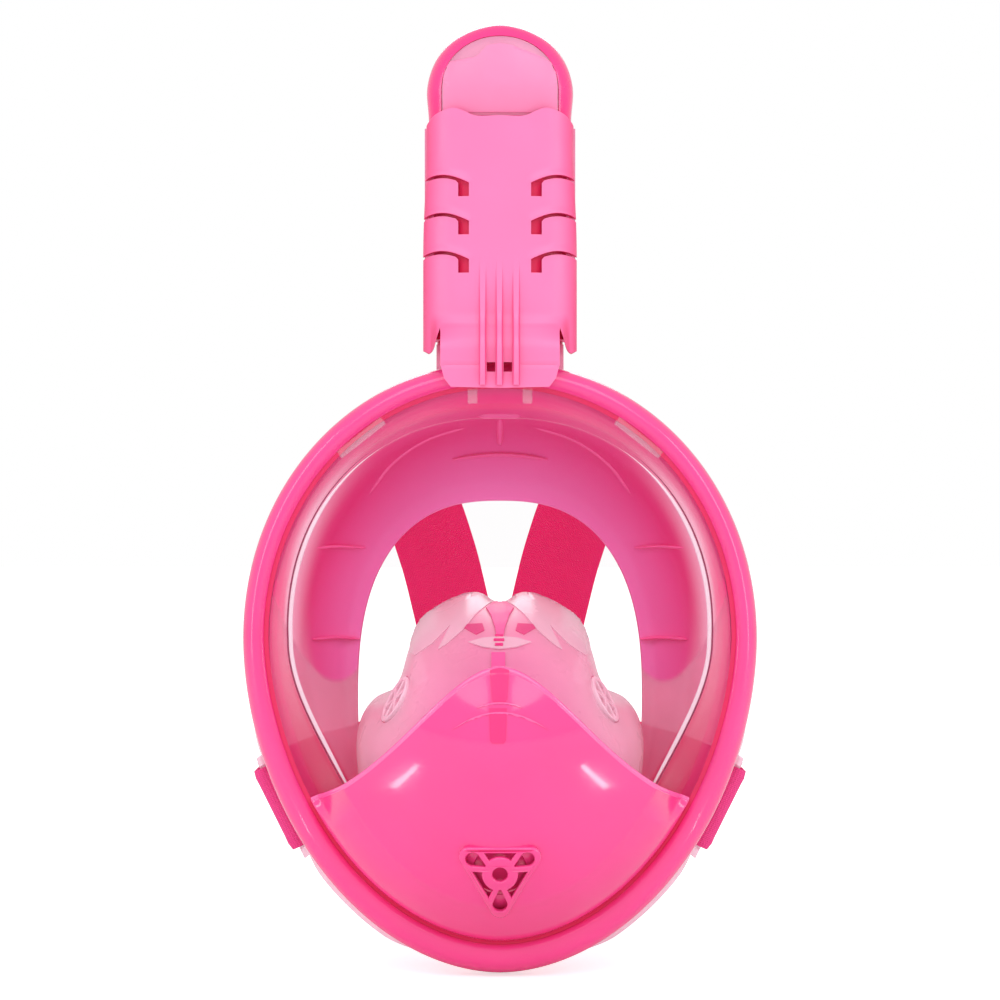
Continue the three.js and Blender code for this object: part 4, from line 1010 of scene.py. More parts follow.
def cover_surface(x, z, lift, below_top=99.0):
    """The chin cover's surface: on the visor by its upper edge, and swelling to a round flank below."""
    angle = np.arctan2(z, x)
    edge_y = saddle_y(x, z) - 2 - lift
    close = np.minimum(visor_offset(x, z, 0) - lift, edge_y)
    inward = frame_radius(angle) - band_width(angle) - COVER_INSET - np.hypot(x, z)
    rise = np.clip(1 - inward / FLANK_WIDTH, 0, 1) ** FLANK_POWER
    full = edge_y + (face_y(x, z) - lift - edge_y) * (1 - rise) ** (1 / FLANK_POWER)
    return mix(close, np.minimum(close, full), smooth(below_top, 1, 16))


def bow(left, top, right, thick):
    """A thin arch in X and Z, from its left foot over its top to its right foot."""
    x = np.linspace(left[0], right[0], 17)
    share = (2 * (x - left[0]) / (right[0] - left[0]) - 1) ** 2
    z = mix(top, left[1], share)
    taper = thick * (1 - share**2)
    return [*zip(x, z - taper / 2), *list(zip(x, z + taper / 2))[-2:0:-1]]


# Outlines in X and Z of thin sheets on the chin cover: the insets are a painted dark reflection down its
# middle, and the arches, which lie over the insets, are a painted highlight.
CHIN_MARKS = [
    ("inset", [
        (-3.2, -8.3), (-1.3, -7.7), (0, -7.5), (1.3, -7.7), (2.9, -8.3), (2.4, -17.3), (1.9, -18.2),
        (-2.2, -18.2), (-2.7, -17.3)
    ], CHIN_DARK_REFLECTION),
    ("inset_lower", [
        (-3.5, -20.2), (2.2, -20.2), (1.9, -30.4), (1.2, -31.4), (-2.5, -31.4), (-3.2, -30.4)
    ], CHIN_DARK_REFLECTION),
    ("arch_highlight_upper", bow((-7.38, -20.17), -18.57, (7.38, -20.17), 0.58), CHIN_HIGHLIGHT),
    ("arch_lower", bow((-15.4, -27.23), -21.62, (15.4, -27.23), 0.51), CHIN_HIGHLIGHT),
]


def chin_cover():
    columns, rows = 160, 70

    def edge(angle):
        return frame_point(angle, -band_width(angle) - COVER_INSET, 0)

    u = np.linspace(0, 1, columns + 1)
    angles = np.radians(mix(COVER_ENDS, 540 - COVER_ENDS, u))
    low = edge(angles)
    corner_x = edge(np.radians(COVER_ENDS))[0]
    x = mix(corner_x, -corner_x, u)
    length = np.hypot(x - low[:, 0], bell_z(x) - low[:, 2])
    # Rows are close together near the upper edge, so that the bevels there are crisp.
    near_edge = np.array([0, 0.25, 0.6, 0.95, 1.2, 1.5, 1.8, 2.1, 2.5])
    close = np.minimum(near_edge[:, None], length[None] * near_edge[:, None] / 8)
    depths = np.concatenate([close, mix(close[-1], length, np.linspace(0, 1, rows)[1:, None])])

    def grid(out, shaped):
        lines = []
        for depth in depths:
            v = depth / length
            px, pz = mix(x, low[:, 0], v), mix(bell_z(x), low[:, 2], v)
            lift = out
            if shaped:
                step = 0.9 * (1 - smooth(depth, 1.1, 1.6))
                edge_round = 0.5 * (1 - smooth(depth, 0, 0.7)) ** 2
                lift = out - step - edge_round
            lines.append(xyz(px, cover_surface(px, pz, lift, depth), pz))
        return np.array(lines)

    made = shell("chin_cover_shell", grid(COVER_LIFT, True), grid(COVER_GAP, False), sharp=50)
    hole = grille_outline(0.9) + [0, GRILLE_Z]
    combine(made, prism("hole", hole, -110, -55, axis="y"), "DIFFERENCE")
    combine(made, rod("flap_room", valve_place(-4), valve_place(2.6), FLAP_ROOM, 64), "DIFFERENCE")
    smooth_shade(made, 50)
    finish_piece(made, CHIN_PINK, replaces=["chin_cover"])
    # A second paint, the lighter pink of a painted highlight, goes on the faces along the upper edge.
    made.data.materials.append(CHIN_HIGHLIGHT)
    for face in made.data.polygons:
        at, _, z = face.center / MM
        slope = bell_z(at + 0.5) - bell_z(at - 0.5)
        if (bell_z(at) - z) / math.hypot(1, slope) < UPPER_HIGHLIGHT_WIDTH:
            face.material_index = 1
    bpy.context.view_layer.update()
    for part, points, paint in CHIN_MARKS:
        lift = 0.08 if part.startswith("arch") else 0.02
        laid_on(f"chin_cover_{part}", made, points, lift, 0.2, paint)
    return made


def circle(radius, sides=64):
    a = round_angles(sides)
    return np.stack([radius * np.cos(a), radius * np.sin(a)], 1)


def turned(points, towards):
    """Points given along and out, turned so that out faces a direction in degrees."""
    a = math.radians(towards)
    c, s = math.cos(a), math.sin(a)
    return np.array([(o * c - t * s, o * s + t * c) for t, o in points])


def arc(radius, low, high, steps):
    """Points on a circle, at angles in degrees from the first axis."""
    return [(radius * math.cos(a), radius * math.sin(a)) for a in np.radians(np.linspace(low, high, steps))]


def grille_outline(scale=1.0):
    """A triangle with rounded corners, one corner down."""
    points = []
    for (x, z), w in zip(GRILLE_CORNERS, (-90, 30, 150)):
        points += [(x + u, z + v) for u, v in arc(GRILLE_CORNER, w - 60, w + 60, 12)]
    return np.array(points) * scale


def purge_grille():
    """A raised triangle with a middle ring, a drop hole to each corner and a slot along each side.

    It is drawn as seen from the front, and then laid on the chin cover's curved surface."""
    holes = [circle(2.45)]
    for w in (-90, 30, 150):
        far = 10.7 if w == -90 else 10.2
        drop = [(u, far + v) for v, u in arc(2.35, -108, 108, 20)]
        holes.append(turned([*drop, (0.3, 5.5), (-0.3, 5.5)], w))
        inner = [(u, v) for v, u in arc(5.9, -37, 37, 11)]
        holes.append(turned([*inner, (5.2, 7.3), (-5.2, 7.3)], w + 180))
    made = plate("purge_grille_plate", grille_outline(), holes, GRILLE_THICK, 0.55)
    on_chin(made, 0.15)
    # The plate is hollowed from behind, so that the lifted flap stays clear of it.
    combine(made, rod("flap_room", valve_place(-4), valve_place(2), FLAP_ROOM, 64), "DIFFERENCE")
    smooth_shade(made, 35)
    finish_piece(made, CHIN_PINK, replaces=["purge_grille"])
    backing = plate("purge_grille_backing", grille_outline(), [circle(FLAP_ROOM - 0.1)], 0.6, 0.1)
    on_chin(backing, -1.5)
    return finish_piece(backing, PINK)


def on_chin(made, forward_by):
    """Lays a flat piece, drawn round the grille's middle, on the chin cover's curved surface."""
    for v in made.data.vertices:
        x, up, forward = (c / MM for c in v.co)
        z = GRILLE_Z + up
        on = xyz(x, cover_surface(x, z, COVER_LIFT), z)
        v.co = Vector((on + VALVE_AXIS * (forward + forward_by)) * MM)
    outward(made)
    smooth_shade(made, 35)


CLIP_ANGLE, STUD_X, STUD_Z = 55.5, 9.2, 81.8


def visor_clips():
    """Clear tabs and studs that hold the visor's flange in the frame."""
    for name, side in SIDES.items():
        angle = math.radians(CLIP_ANGLE)
        angle = angle if side > 0 else math.pi - angle
        place = frame_point(angle, -wall_base(angle) + 0.2, -3.4)
        along = frame_point(angle + 0.03, 0, 0) - frame_point(angle - 0.03, 0, 0)
        made = tab(f"visor_clip_{name}", place, along, length=19, height=3.0, depth=1.6)
        finish_piece(made, CLIP)
        place = np.array([side * STUD_X, saddle_y(side * STUD_X, 82) - 3.6, STUD_Z])
        made = tab(f"visor_stud_{name}", place, [1, 0, 0], length=3.2, height=5.2, depth=1.8)
        finish_piece(made, CLIP)


def tab(name, place, along, length, height, depth):
    """A small bevelled block, long along one direction."""
    along = unit(along)
    out = unit(np.cross(along, [0, 1, 0]))
    corners = []
    for end in (-1, 1):
        middle = place + along * end * length / 2
        section = ((-1, -1), (1, -1), (1, 1), (-1, 1))
        corners.append([middle + out * o * height / 2 + np.array([0, b * depth / 2, 0]) for o, b in section])
    made = sweep(name, np.array(corners), closed=False)
    return soften(made, 0.4, 3)


# Sheets are divided this many times, or until their edges are this short.
SHEET_ROUNDS, SHEET_EDGE = 4, 1.2


def laid_on(name, target, outline, lift, thick, paint, body="mask"):
    """A thin sheet with an outline in X and Z, laid on the front of another piece."""
    bm = bmesh.new()
    bm.faces.new([bm.verts.new((x * MM, 0, z * MM)) for x, z in outline])
    bmesh.ops.triangulate(bm, faces=bm.faces, ngon_method="EAR_CLIP")
    for _ in range(SHEET_ROUNDS):
        long = [e for e in bm.edges if e.calc_length() > SHEET_EDGE * MM]
        bmesh.ops.subdivide_edges(bm, edges=long, cuts=1)
        bmesh.ops.triangulate(bm, faces=bm.faces)
    centre = sum((v.co for v in bm.verts), Vector()) / len(bm.verts)
    for v in bm.verts:
        # A point beside the target moves in until it meets the target.
        for share in np.linspace(0, 0.6, 31):
            x, z = mix(v.co.x, centre.x, share), mix(v.co.z, centre.z, share)
            hit, place, _, _ = target.ray_cast((x, -0.2, z), (0, 1, 0))
            if hit:
                break
        v.co = Vector((x, place.y - lift * MM, z))
    mesh = bpy.data.meshes.new(name)
    bm.to_mesh(mesh)
    bm.free()
    made = bpy.data.objects.new(name, mesh)
    bpy.context.scene.collection.objects.link(made)
    outward(made)
    if sum(f.normal.y * f.area for f in made.data.polygons) > 0:
        made.data.flip_normals()
    wall = made.modifiers.new("wall", "SOLIDIFY")
    wall.thickness = thick * MM
    wall.offset = 1
    apply_all(made)
    smooth_shade(made, 50)
    return finish_piece(made, paint, body)


# ---- Face skirt ----


def opening_point(angle, out=0.0):
    above = np.sin(angle) > 0
    high = super_radius(angle, OPENING_HALF_WIDTH, OPENING_RISE, OPENING_POWER)
    r = np.where(above, high, super_radius(angle, OPENING_HALF_WIDTH, OPENING_DROP, OPENING_POWER)) + out
    return xyz(r * np.cos(angle), 0, OPENING_Z + r * np.sin(angle))


SKIRT_LINE = [(0.28, -20, 2), (0.45, -10, 2), (0.7, -4, 2), (0.88, -1.6, 1.8), (1, -2.4, 1.4)]
SKIRT_RIM = HOOP_INNER - 0.6
SKIRT_NECK = 3.4
# The skirt lies this much further out where it is seen behind the visor's edge.
BEHIND_EDGE = 1.035


def skirt_middle(angle):
    """The skirt's middle line at an angle: share of the way in, Y and thickness, finely sampled."""
    rim, edge = frame_point(angle, SKIRT_RIM, 0), opening_point(angle)
    run = math.hypot(edge[0] - rim[0], edge[2] - rim[2])
    line = spline([(SKIRT_NECK / run, rim[1] + 5, 2.4), *SKIRT_LINE], 40)
    return rim, edge, run, line


def face_skirt():
    sections = []
    for angle in round_angles(FRAME_STEPS):
        rim, edge, run, line = skirt_middle(angle)
        bead = frame_point(angle, -SLOT, 0)
        slope = unit(np.gradient(np.stack([line[:, 0] * run, line[:, 1]], 1), axis=0))

        def side(sign):
            half = sign * line[:, 2] / 2
            share = line[:, 0] - slope[:, 1] * half / run
            x, z = mix(rim[0], edge[0], share), mix(rim[2], edge[2], share)
            return xyz(x, line[:, 1] + slope[:, 0] * half, z)

        front, back = side(-1), side(1)[::-1]
        tip = (front[-1] + back[0]) / 2 + unit(edge - rim) * 0.6
        start = [bead + [0, 0.8, 0], rim + [0, 0.8, 0]]
        end = [rim + [0, 4, 0], bead + [0, 4, 0]]
        sections.append(np.array([*start, *front, tip, *back, *end]))
    made = sweep("face_skirt_seal", np.array(sections), sharp=60)
    skirt_zones(made)
    return finish_piece(made, SKIRT, replaces=["face_skirt"])


def skirt_zones(made):
    """Marks the skirt's painted whitish highlight under the visor's edge, and what lies outside that edge.
    """
    where = np.array([v.co for v in made.data.vertices]) / MM
    angle = np.arctan2(where[:, 2], where[:, 0])
    inward = edge_line(angle) * BEHIND_EDGE - np.hypot(where[:, 0], where[:, 2])
    at_side = smooth(abs(np.cos(angle)), *AT_SIDE)
    # A painted whitish highlight fades in from the visor's edge line, at the sides only.
    whitish_highlight = (1 - smooth(inward, 0, 8.5)) * smooth(inward, -1.2, 0.4) * at_side
    outside = 1 - smooth(inward, -1, 1)
    layer = made.data.uv_layers.new(name="zones")
    for loop in made.data.loops:
        layer.data[loop.index].uv = (whitish_highlight[loop.vertex_index], outside[loop.vertex_index])


def skirt_front(x, z):
    """A point on the side of the skirt that faces the visor."""
    angle = math.atan2(z, x)
    for _ in range(6):
        rim, edge, run, line = skirt_middle(angle)
        inward = (x - rim[0]) * (edge[0] - rim[0]) + (z - rim[2]) * (edge[2] - rim[2])
        share = np.clip(inward / run**2, 0, 1)
        on = rim + (edge - rim) * share
        angle += math.atan2(z, x) - math.atan2(on[2], on[0])
    return float(np.interp(share, line[:, 0], line[:, 1] - line[:, 2] / 2))


def rib(name, points, width, height):
    """A low rounded rib along points in X and Z on the skirt's front side."""
    points = spline([(x, 0, z) for x, z in points], 14)
    line = np.array([(x, skirt_front(x, z), z) for x, _, z in points])
    along = unit(np.gradient(line, axis=0))
    across = unit(np.cross(along, [0, 1, 0]))
    sections = []
    for i, (p, w) in enumerate(zip(line, across)):
        end = min(i, len(line) - 1 - i)
        swell = min(1, 0.45 + end * 0.3)
        ring = [
            p + w * width / 2 * swell * math.cos(a) + np.array([0, -height * swell * math.sin(a), 0])
            for a in np.linspace(-0.25, math.pi + 0.25, 9)
        ]
        sections.append(ring)
    made = sweep(name, np.array(sections), closed=False, sharp=80)
    # The ribs' lighter pink is a painted highlight on their lit faces.
    return finish_piece(made, SKIRT_LIGHT)


# Each rib's name, its points in X and Z, its width and its height.
SKIRT_SIDE_RIBS = [
    ("rib_upper", [(63, 30.5), (56, 30.8), (47, 30.2)], 1.1, 2.4),
    ("rib_lower", [(65, -1.5), (57, -1.2), (49, -1.8)], 1.1, 2.4),
    ("step", [(9, 73), (26, 67.5), (38, 59), (45.5, 49)], 1.4, 1.2),
]
SKIRT_MIDDLE_RIBS = [
    ("arc", [(-16.4, 61), (-8, 62.3), (0, 62.8), (8, 62.3), (16.4, 61)], 1.3, 2.0),
    ("brace", [(0, 75), (0, 71), (0, 66)], 2.2, 2.6),
    ("block", [(-7.4, 76), (0, 76.2), (7.4, 76)], 3.0, 3.0),
]


def skirt_ribs():
    for name, side in SIDES.items():
        for part, points, width, height in SKIRT_SIDE_RIBS:
            rib(f"skirt_{part}_{name}", [(side * x, z) for x, z in points], width, height)
    for part, points, width, height in SKIRT_MIDDLE_RIBS:
        rib(f"skirt_{part}", points, width, height)


# ---- Nose pocket and inhale valves ----

POCKET_SIDE = [
    (39, -9, -66), (46, -8.5, -46), (47.5, -8, -28), (43.5, -8, -22), (35, -8.5, -17.5),
    (31, -9, -10), (30.5, -9.5, -3), (28, -10, 5), (17, -11.5, 12.5), (8, -13, 15),
]
POCKET_REAR = [(-x, y, z) for x, y, z in POCKET_SIDE] + [(0, -16, 11.5)] + POCKET_SIDE[::-1]
POCKET_WALL, POCKET_BULGE, POCKET_MIDDLE_Z = 1.4, 5, -45
INHALE_RADIUS = 8.5


def pocket_front(u):
    share = 2 * u - 1
    low = smooth(abs(share), 0.55, 1)
    x = mix(46, 36, low) * np.sin(share * math.pi / 2)
    z = mix(bell_z(x * 0.98) - 3, -68, low)
    return xyz(x, visor_offset(x, z, 0) + WALL + 2.5, z)


def pocket_grid(back, rows=28, columns=180):
    u = np.linspace(0, 1, columns + 1)
    front = pocket_front(u)
    rear = spline(POCKET_REAR, columns + 1)
    lines = []
    for v in np.linspace(0, 1, rows + 1):
        p = mix(front, rear, v)
        away = unit(xyz(p[:, 0], 0, p[:, 2] - POCKET_MIDDLE_Z))
        lines.append(p + away * (POCKET_BULGE * 4 * v * (1 - v) - back))
    return np.array(lines)


def inhale_frame(side):
    """An inhale valve's middle and its axis, from the same coarse grid as the CAD solid's."""
    grid = pocket_grid(0, 5, 30)
    row, column = 2, 15 + side * 7
    across = grid[row, column + 1] - grid[row, column - 1]
    along = grid[row + 1, column] - grid[row - 1, column]
    axis = unit(np.cross(across, along))
    return grid[row, column], axis if axis[2] > 0 else -axis


# Outlines in X and Z, the right one of each pair, with the lift above the pocket.
NOSE_SHEETS = [
    ("outer_wing", [
        (27.7, 9.9), (25.6, 12), (20.7, 14.1), (15.6, 15.4), (8.3, 16.1), (10.7, 13.4), (12.8, 11.3),
        (11.4, 10.9), (16.6, 4.7), (22.8, -1.5), (28.7, -5.6), (30.8, -5), (30.4, 2)
    ], 0.15),
    ("inner_wing", [
        (13.1, 12), (8.3, 13.7), (3.5, 15.4), (1.7, 12.3), (4.8, 10.9), (8.3, 8.2), (12.4, 3.3),
        (18, -1.5), (20.7, -3.2), (15.9, 6.1)
    ], 0.3),
    ("corner", [
        (5.9, 5.4), (11.4, 5.1), (12.1, 4), (8, 2), (5.2, 3.3)
    ], 0.25),
]
NOSE_MIDDLE = [
    ("bridge", [
        (-4.8, 10.3), (-2.4, 11.7), (2.4, 11.7), (4.8, 10.3), (3.1, 7.9), (1.4, 3.4), (0.7, -1.8),
        (-0.7, -1.8), (-1.4, 3.4), (-3.1, 7.9)
    ], 0.5, SKIRT_LIGHT),
    ("fold", [
        (-10.4, -0.4), (-5.5, 1), (0, 1.4), (5.5, 1), (10.4, -0.4), (5.5, -1.8), (0, -2.4), (-5.5, -1.8)
    ], 0.7, PETAL),
    ("rib_upper", [
        (-1.7, 2), (1, 2), (1, 1.4), (-1.7, 1.4)
    ], 1.1, MARK),
    ("rib_middle", [
        (-2.1, 0.7), (1.4, 0.7), (1.4, -0), (-2.1, -0)
    ], 1.2, MARK),
    ("rib_lower", [
        (-1.7, -0.7), (1, -0.7), (1, -1.4), (-1.7, -1.4)
    ], 1.2, MARK),
    ("stem", [
        (-2.8, -3.5), (1.7, -3.5), (1.7, -11.1), (-2.8, -11.1)
    ], 0.3, SKIRT_LIGHT),
]


def nose_pocket():
    front, back = pocket_grid(0), pocket_grid(POCKET_WALL)
    made = shell("nose_pocket_cup", front, back, sharp=60)
    for side in SIDES.values():
        place, axis = inhale_frame(side)
        hole = rod("hole", place - axis * 6, place + axis * 6, INHALE_RADIUS + GAP, 48)
        combine(made, hole, "DIFFERENCE")
    smooth_shade(made, 60)
    finish_piece(made, POCKET, replaces=["nose_pocket"])
    bpy.context.view_layer.update()
    for name, side in SIDES.items():
        for part, points, lift in NOSE_SHEETS:
            paint = VALVE if part == "corner" else PETAL
            sheet = [(side * x, z) for x, z in points]
            laid_on(f"nose_{part}_{name}", made, sheet, lift, 0.3, paint)
    for part, points, lift, paint in NOSE_MIDDLE:
        laid_on(f"nose_{part}", made, points, lift, 0.4, paint)
    return made


def wheel_holes(inner, outer, spokes, bar):
    """The openings between the spokes of a wheel."""
    holes = []
    for k in range(spokes):
        middle = 360 / spokes * (k + 0.5) + 90
        half = 180 / spokes
        outer_half = half - math.degrees(math.asin(bar / outer))
        inner_half = half - math.degrees(math.asin(bar / inner))
        far = arc(outer, middle - outer_half, middle + outer_half, 14)
        near = arc(inner, middle + inner_half, middle - inner_half, 8)
        holes.append(far + near)
    return holes


def inhale_valves():
    for name, side in SIDES.items():
        place, axis = inhale_frame(side)
        made = plate(f"inhale_seat_{name}", circle(INHALE_RADIUS), wheel_holes(1.7, 6.9, 6, 0.6), 2, 0.25)
        place_solid(made, place - axis, axis)
        finish_piece(made, SPOKE, replaces=[f"inhale_valve_seat_{name}"])


# ---- Snorkel ----


def half_oval(low, high, width, depth, power, steps):
    a = np.radians(np.linspace(low, high, steps))
    c, s = np.cos(a), np.sin(a)
    x = np.sign(c) * width * abs(c) ** (2 / power)
    return np.stack([x, TUBE_MIDDLE + np.sign(s) * depth * abs(s) ** (2 / power)], 1)


def rear_tube_outline(shrink, steps=61):
    inset = COVER_WALL + GAP + shrink
    depth = TUBE_MIDDLE - TUBE_FRONT - inset
    front = half_oval(180, 360, TUBE_HALF_WIDTH - inset, depth, FRONT_POWER, steps)
    width = TUBE_HALF_WIDTH + 0.6 - shrink
    back = half_oval(0, 180, width, TUBE_BACK - TUBE_MIDDLE - shrink, BACK_POWER, steps)
    back = back[back[:, 1] > TUBE_MIDDLE + GAP + shrink]
    sides = np.array([(width, TUBE_MIDDLE + GAP + shrink)])
    return np.concatenate([front, sides, back, sides * [-1, 1]])


def socket_outline(shrink, steps=61):
    inset = 3.4 + shrink
    width = TUBE_HALF_WIDTH - inset
    front = half_oval(180, 360, width, TUBE_MIDDLE - TUBE_FRONT - inset, FRONT_POWER, steps)
    back = half_oval(0, 180, width, TUBE_BACK - TUBE_MIDDLE - inset, BACK_POWER, steps)
    return np.concatenate([front, back[1:-1]])


KNUCKLE_RADIUS, KNUCKLE_HALF, LUG, PIN_RADIUS = 3, 13.6, 4, 1.5
PIN_ROOM = PIN_RADIUS + 0.3
TUBE_WALL = 1.6


def pivot(x):
    return (x, PIVOT_Y, PIVOT_Z)


def rear_tube():
    made = prism("rear_tube_shell", rear_tube_outline(0), TUBE_BOTTOM, TUBE_TOP)
    combine(made, rod("knuckle", pivot(-KNUCKLE_HALF), pivot(KNUCKLE_HALF), KNUCKLE_RADIUS), "UNION")
    low = (-KNUCKLE_HALF, TUBE_BACK - 3.6, TUBE_BOTTOM)
    combine(made, block("web", low, (KNUCKLE_HALF, PIVOT_Y, PIVOT_Z + KNUCKLE_RADIUS)), "UNION")
    combine(made, prism("bore", rear_tube_outline(TUBE_WALL), TUBE_BOTTOM - 8, TUBE_TOP + 8), "DIFFERENCE")
    combine(made, rod("hole", pivot(-20), pivot(20), PIN_ROOM), "DIFFERENCE")
    smooth_shade(made, 35)
    finish_piece(made, TUBE, "snorkel", ["snorkel_rear_tube"])
    # The faces behind the cover take the deep pink: painted shade in the cover's slots, and the pink that
    # shows through them.
    made.data.materials.append(DEEP_SHADE)
    for face in made.data.polygons:
        middle = face.center / MM
        if middle.y < TUBE_MIDDLE - 1 and abs(middle.x) < TUBE_HALF_WIDTH - COVER_WALL:
            face.material_index = 1
    return made


def cover_y(x, shrink=0.0):
    w = TUBE_HALF_WIDTH - shrink
    depth = TUBE_MIDDLE - (TUBE_FRONT + shrink)
    inside = np.maximum(0, 1 - np.minimum(1, abs(x) / w) ** FRONT_POWER)
    return TUBE_MIDDLE - depth * inside ** (1 / FRONT_POWER)


TONGUE_START, TONGUE_FLAT = 110, 97
SLOTS_Z = [152.2, 139.4, 126.6]
SLOT_INNER, SLOT_WINDOW, SLOT_GAP = 10.4, 3.6, 1.15
RIBS_X = [-5.8, -0.2, 5.4]
RIB_WIDTH, RIB_HEIGHT, RIB_TOP = 2.4, 2.6, 129
COVER_FLARE = 1.1
# Grooves across the tongue: height, depth, half width.
GROOVES = [(106, 0.35, 0.45), (91.8, 0.4, 0.5)]
# Two windows between the ribs' lower ends: half the distance between them, half width, bottom and top.
RIB_WINDOW = (2.8, 1.4, 89.6, 92.8)


def cover_face(x, z, shrink):
    flat = TONGUE_Y + 1.2 * (x / TONGUE_HALF_WIDTH) ** 2 + shrink
    on_tongue = smooth(-z, -TONGUE_START, -TONGUE_FLAT) * smooth(-abs(x), -22.5, -TONGUE_HALF_WIDTH)
    return mix(cover_y(x, shrink), flat, on_tongue)


def slot_line(x):
    """How far a side slot rises above its inner end."""
    t = (abs(x) - SLOT_INNER) / (TUBE_HALF_WIDTH - SLOT_INNER)
    return 2.9 * np.sin(np.clip(t, 0, 1.2) * math.pi * 0.75) - 0.2


def cover_outline():
    """The front cover's outline in X and Z: a wavy top, bowed lower corners and a tongue with cut ones."""
    half = [
        (0, 175.6), (8.4, 175.6), (12, 177.2), (15.6, 178.4), (19.4, 177.6), (22.4, 176.2), (24.4, 174.2),
        (27, 172)
    ]
    top = spline([(x, 0, z) for x, z in half], 30)[:, [0, 2]]
    bow = [(28, 98.5), (25.6, 97.2), (23.8, 96.4), (22.4, 97.4), (21.2, 101), (20.1, 104.6)]
    low = spline([(x, 0, z) for x, z in bow], 16)[:, [0, 2]]
    tongue = [(19.9, 103), (19.9, 92), (18.6, 87.4), (16.4, TONGUE_BOTTOM + 0.6), (0, TONGUE_BOTTOM + 0.2)]
    right = np.concatenate([top, low, tongue])
    left = right[::-1][1:-1] * [-1, 1]
    return np.concatenate([right, left])


def side_slot(side, z):
    """A louvre: a thin curved slot round the side, and a small window at its inner end."""
    x = np.linspace(SLOT_INNER, TUBE_HALF_WIDTH + 2, 16)
    line = z + slot_line(x)
    upper = np.stack([x, line + SLOT_GAP], 1)
    lower = np.stack([x, line], 1)[::-1]
    far, bottom = SLOT_INNER + SLOT_WINDOW, z - SLOT_WINDOW
    window = [(far, line[2]), (far, bottom), (SLOT_INNER, bottom)]
    keep = lower[lower[:, 0] > far]
    outline = np.concatenate([upper, keep, window]) * [side, 1]
    return prism("slot", outline, TUBE_FRONT - 12, TUBE_MIDDLE + 6, axis="y")


def front_cover():
    columns, rows = 96, 120
    angles = np.radians(np.linspace(-90, 90, columns + 1))
    heights = np.linspace(180, TONGUE_BOTTOM - 1, rows + 1)

    def grid(shrink):
        lines = []
        for z in heights:
            flare = 1 + COVER_FLARE * float(smooth(-z, -168, -130)) / TUBE_HALF_WIDTH
            x = (TUBE_HALF_WIDTH - shrink) * np.sin(angles)
            y = cover_face(x, z, shrink)
            x = x * flare
            if shrink == 0:
                for slot_z in SLOTS_Z:
                    above = z - slot_z - slot_line(x) - 1.4
                    reach = smooth(abs(x), SLOT_INNER - 1.5, SLOT_INNER + 1)
                    y = y - 0.75 * np.exp(-((above / 1.5) ** 2)) * reach
                for groove_z, deep, half in GROOVES:
                    y = y + deep * np.exp(-(((z - groove_z) / half) ** 2)) * (abs(x) < 19.5)
            lines.append(xyz(x, y, z))
        return np.array(lines)

    made = shell("front_cover_panel", grid(0), grid(COVER_WALL), sharp=50)
    combine(made, prism("outline", cover_outline(), TUBE_FRONT - 20, TUBE_MIDDLE + 1, axis="y"), "INTERSECT")
    for side in SIDES.values():
        for z in SLOTS_Z:
            combine(made, side_slot(side, z), "DIFFERENCE")
        apart, half, bottom, top = RIB_WINDOW
        x = side * apart + RIBS_X[1]
        low, high = (x - half, TUBE_FRONT - 12, bottom), (x + half, TUBE_FRONT + 6, top)
        combine(made, block("slot", low, high), "DIFFERENCE")
    smooth_shade(made, 40)
    return finish_piece(made, SATIN, "snorkel", ["snorkel_front_cover"])


def cover_ribs():
    """Three rounded ribs that run down the cover on to the tongue."""
    heights = np.linspace(RIB_TOP, TONGUE_BOTTOM + 1.2, 40)
    for number, x in enumerate(RIBS_X):
        sections = []
        for z in heights:
            proud = RIB_HEIGHT * smooth(-z, -RIB_TOP, -98) * (1 - 0.55 * smooth(-z, -90, -85)) + 0.05
            y = float(cover_face(np.array(x), z, 0)) + 0.5
            ring = [
                (x + RIB_WIDTH / 2 * np.sign(math.cos(a)) * abs(math.cos(a)) ** 0.55,
                 y - (proud + 0.5) * max(0, math.sin(a)) ** 0.55 - 0.8 * min(0, math.sin(a)), z)
                for a in np.linspace(0, 2 * math.pi, 25)[:-1]
            ]
            sections.append(ring)
        made = sweep(f"front_cover_rib_{number + 1}", np.array(sections), closed=False, sharp=60)
        finish_piece(made, SATIN, "snorkel")


CAP_SHOULDER, CAP_WALL, CAP_HALF_DEPTH, DOME_POWER = 182, 1.8, 15.6, 2.2


def cap_ring(z, shrink):
    """The cap's outline at a height, drawn in by so much."""
    up = max(0, (z - CAP_SHOULDER) / (CAP_TOP - shrink - CAP_SHOULDER))
    scale = max(0, 1 - min(1, up) ** DOME_POWER) ** (1 / DOME_POWER)
    neck = float(smooth(z, 174, CAP_SHOULDER + 5))
    waist, depth = mix(0.965, 1, neck), mix(0.86, 1, neck)
    w = (TUBE_HALF_WIDTH * waist - shrink) * scale
    d = (CAP_HALF_DEPTH * depth - shrink) * mix(0.35, 1, scale) * (scale > 0)
    a = round_angles(120)
    c, s = np.cos(a), np.sin(a)
    y = TUBE_MIDDLE - 0.6 + np.sign(s) * d * abs(s) ** 0.72
    return xyz(np.sign(c) * w * abs(c) ** 0.85, y, z)


def cap_dome(name, shrink):
    """The cap's shell, or a pane that lies in it, so much smaller."""
    near_top = 1 - 0.2 * np.cos(np.linspace(0.12, 1, 12) * math.pi / 2) ** 1.4
    shares = np.concatenate([np.linspace(0, 0.8, 22), near_top])
    shares = np.unique(np.clip(shares, 0, 0.9995))

    def rows(inner):
        return np.array([cap_ring(mix(CAP_BOTTOM, CAP_TOP - inner, s), inner) for s in shares])

    front, back = rows(shrink), rows(CAP_WALL)
    return shell(name, front, back, wrap=True, sharp=180, domed=True)


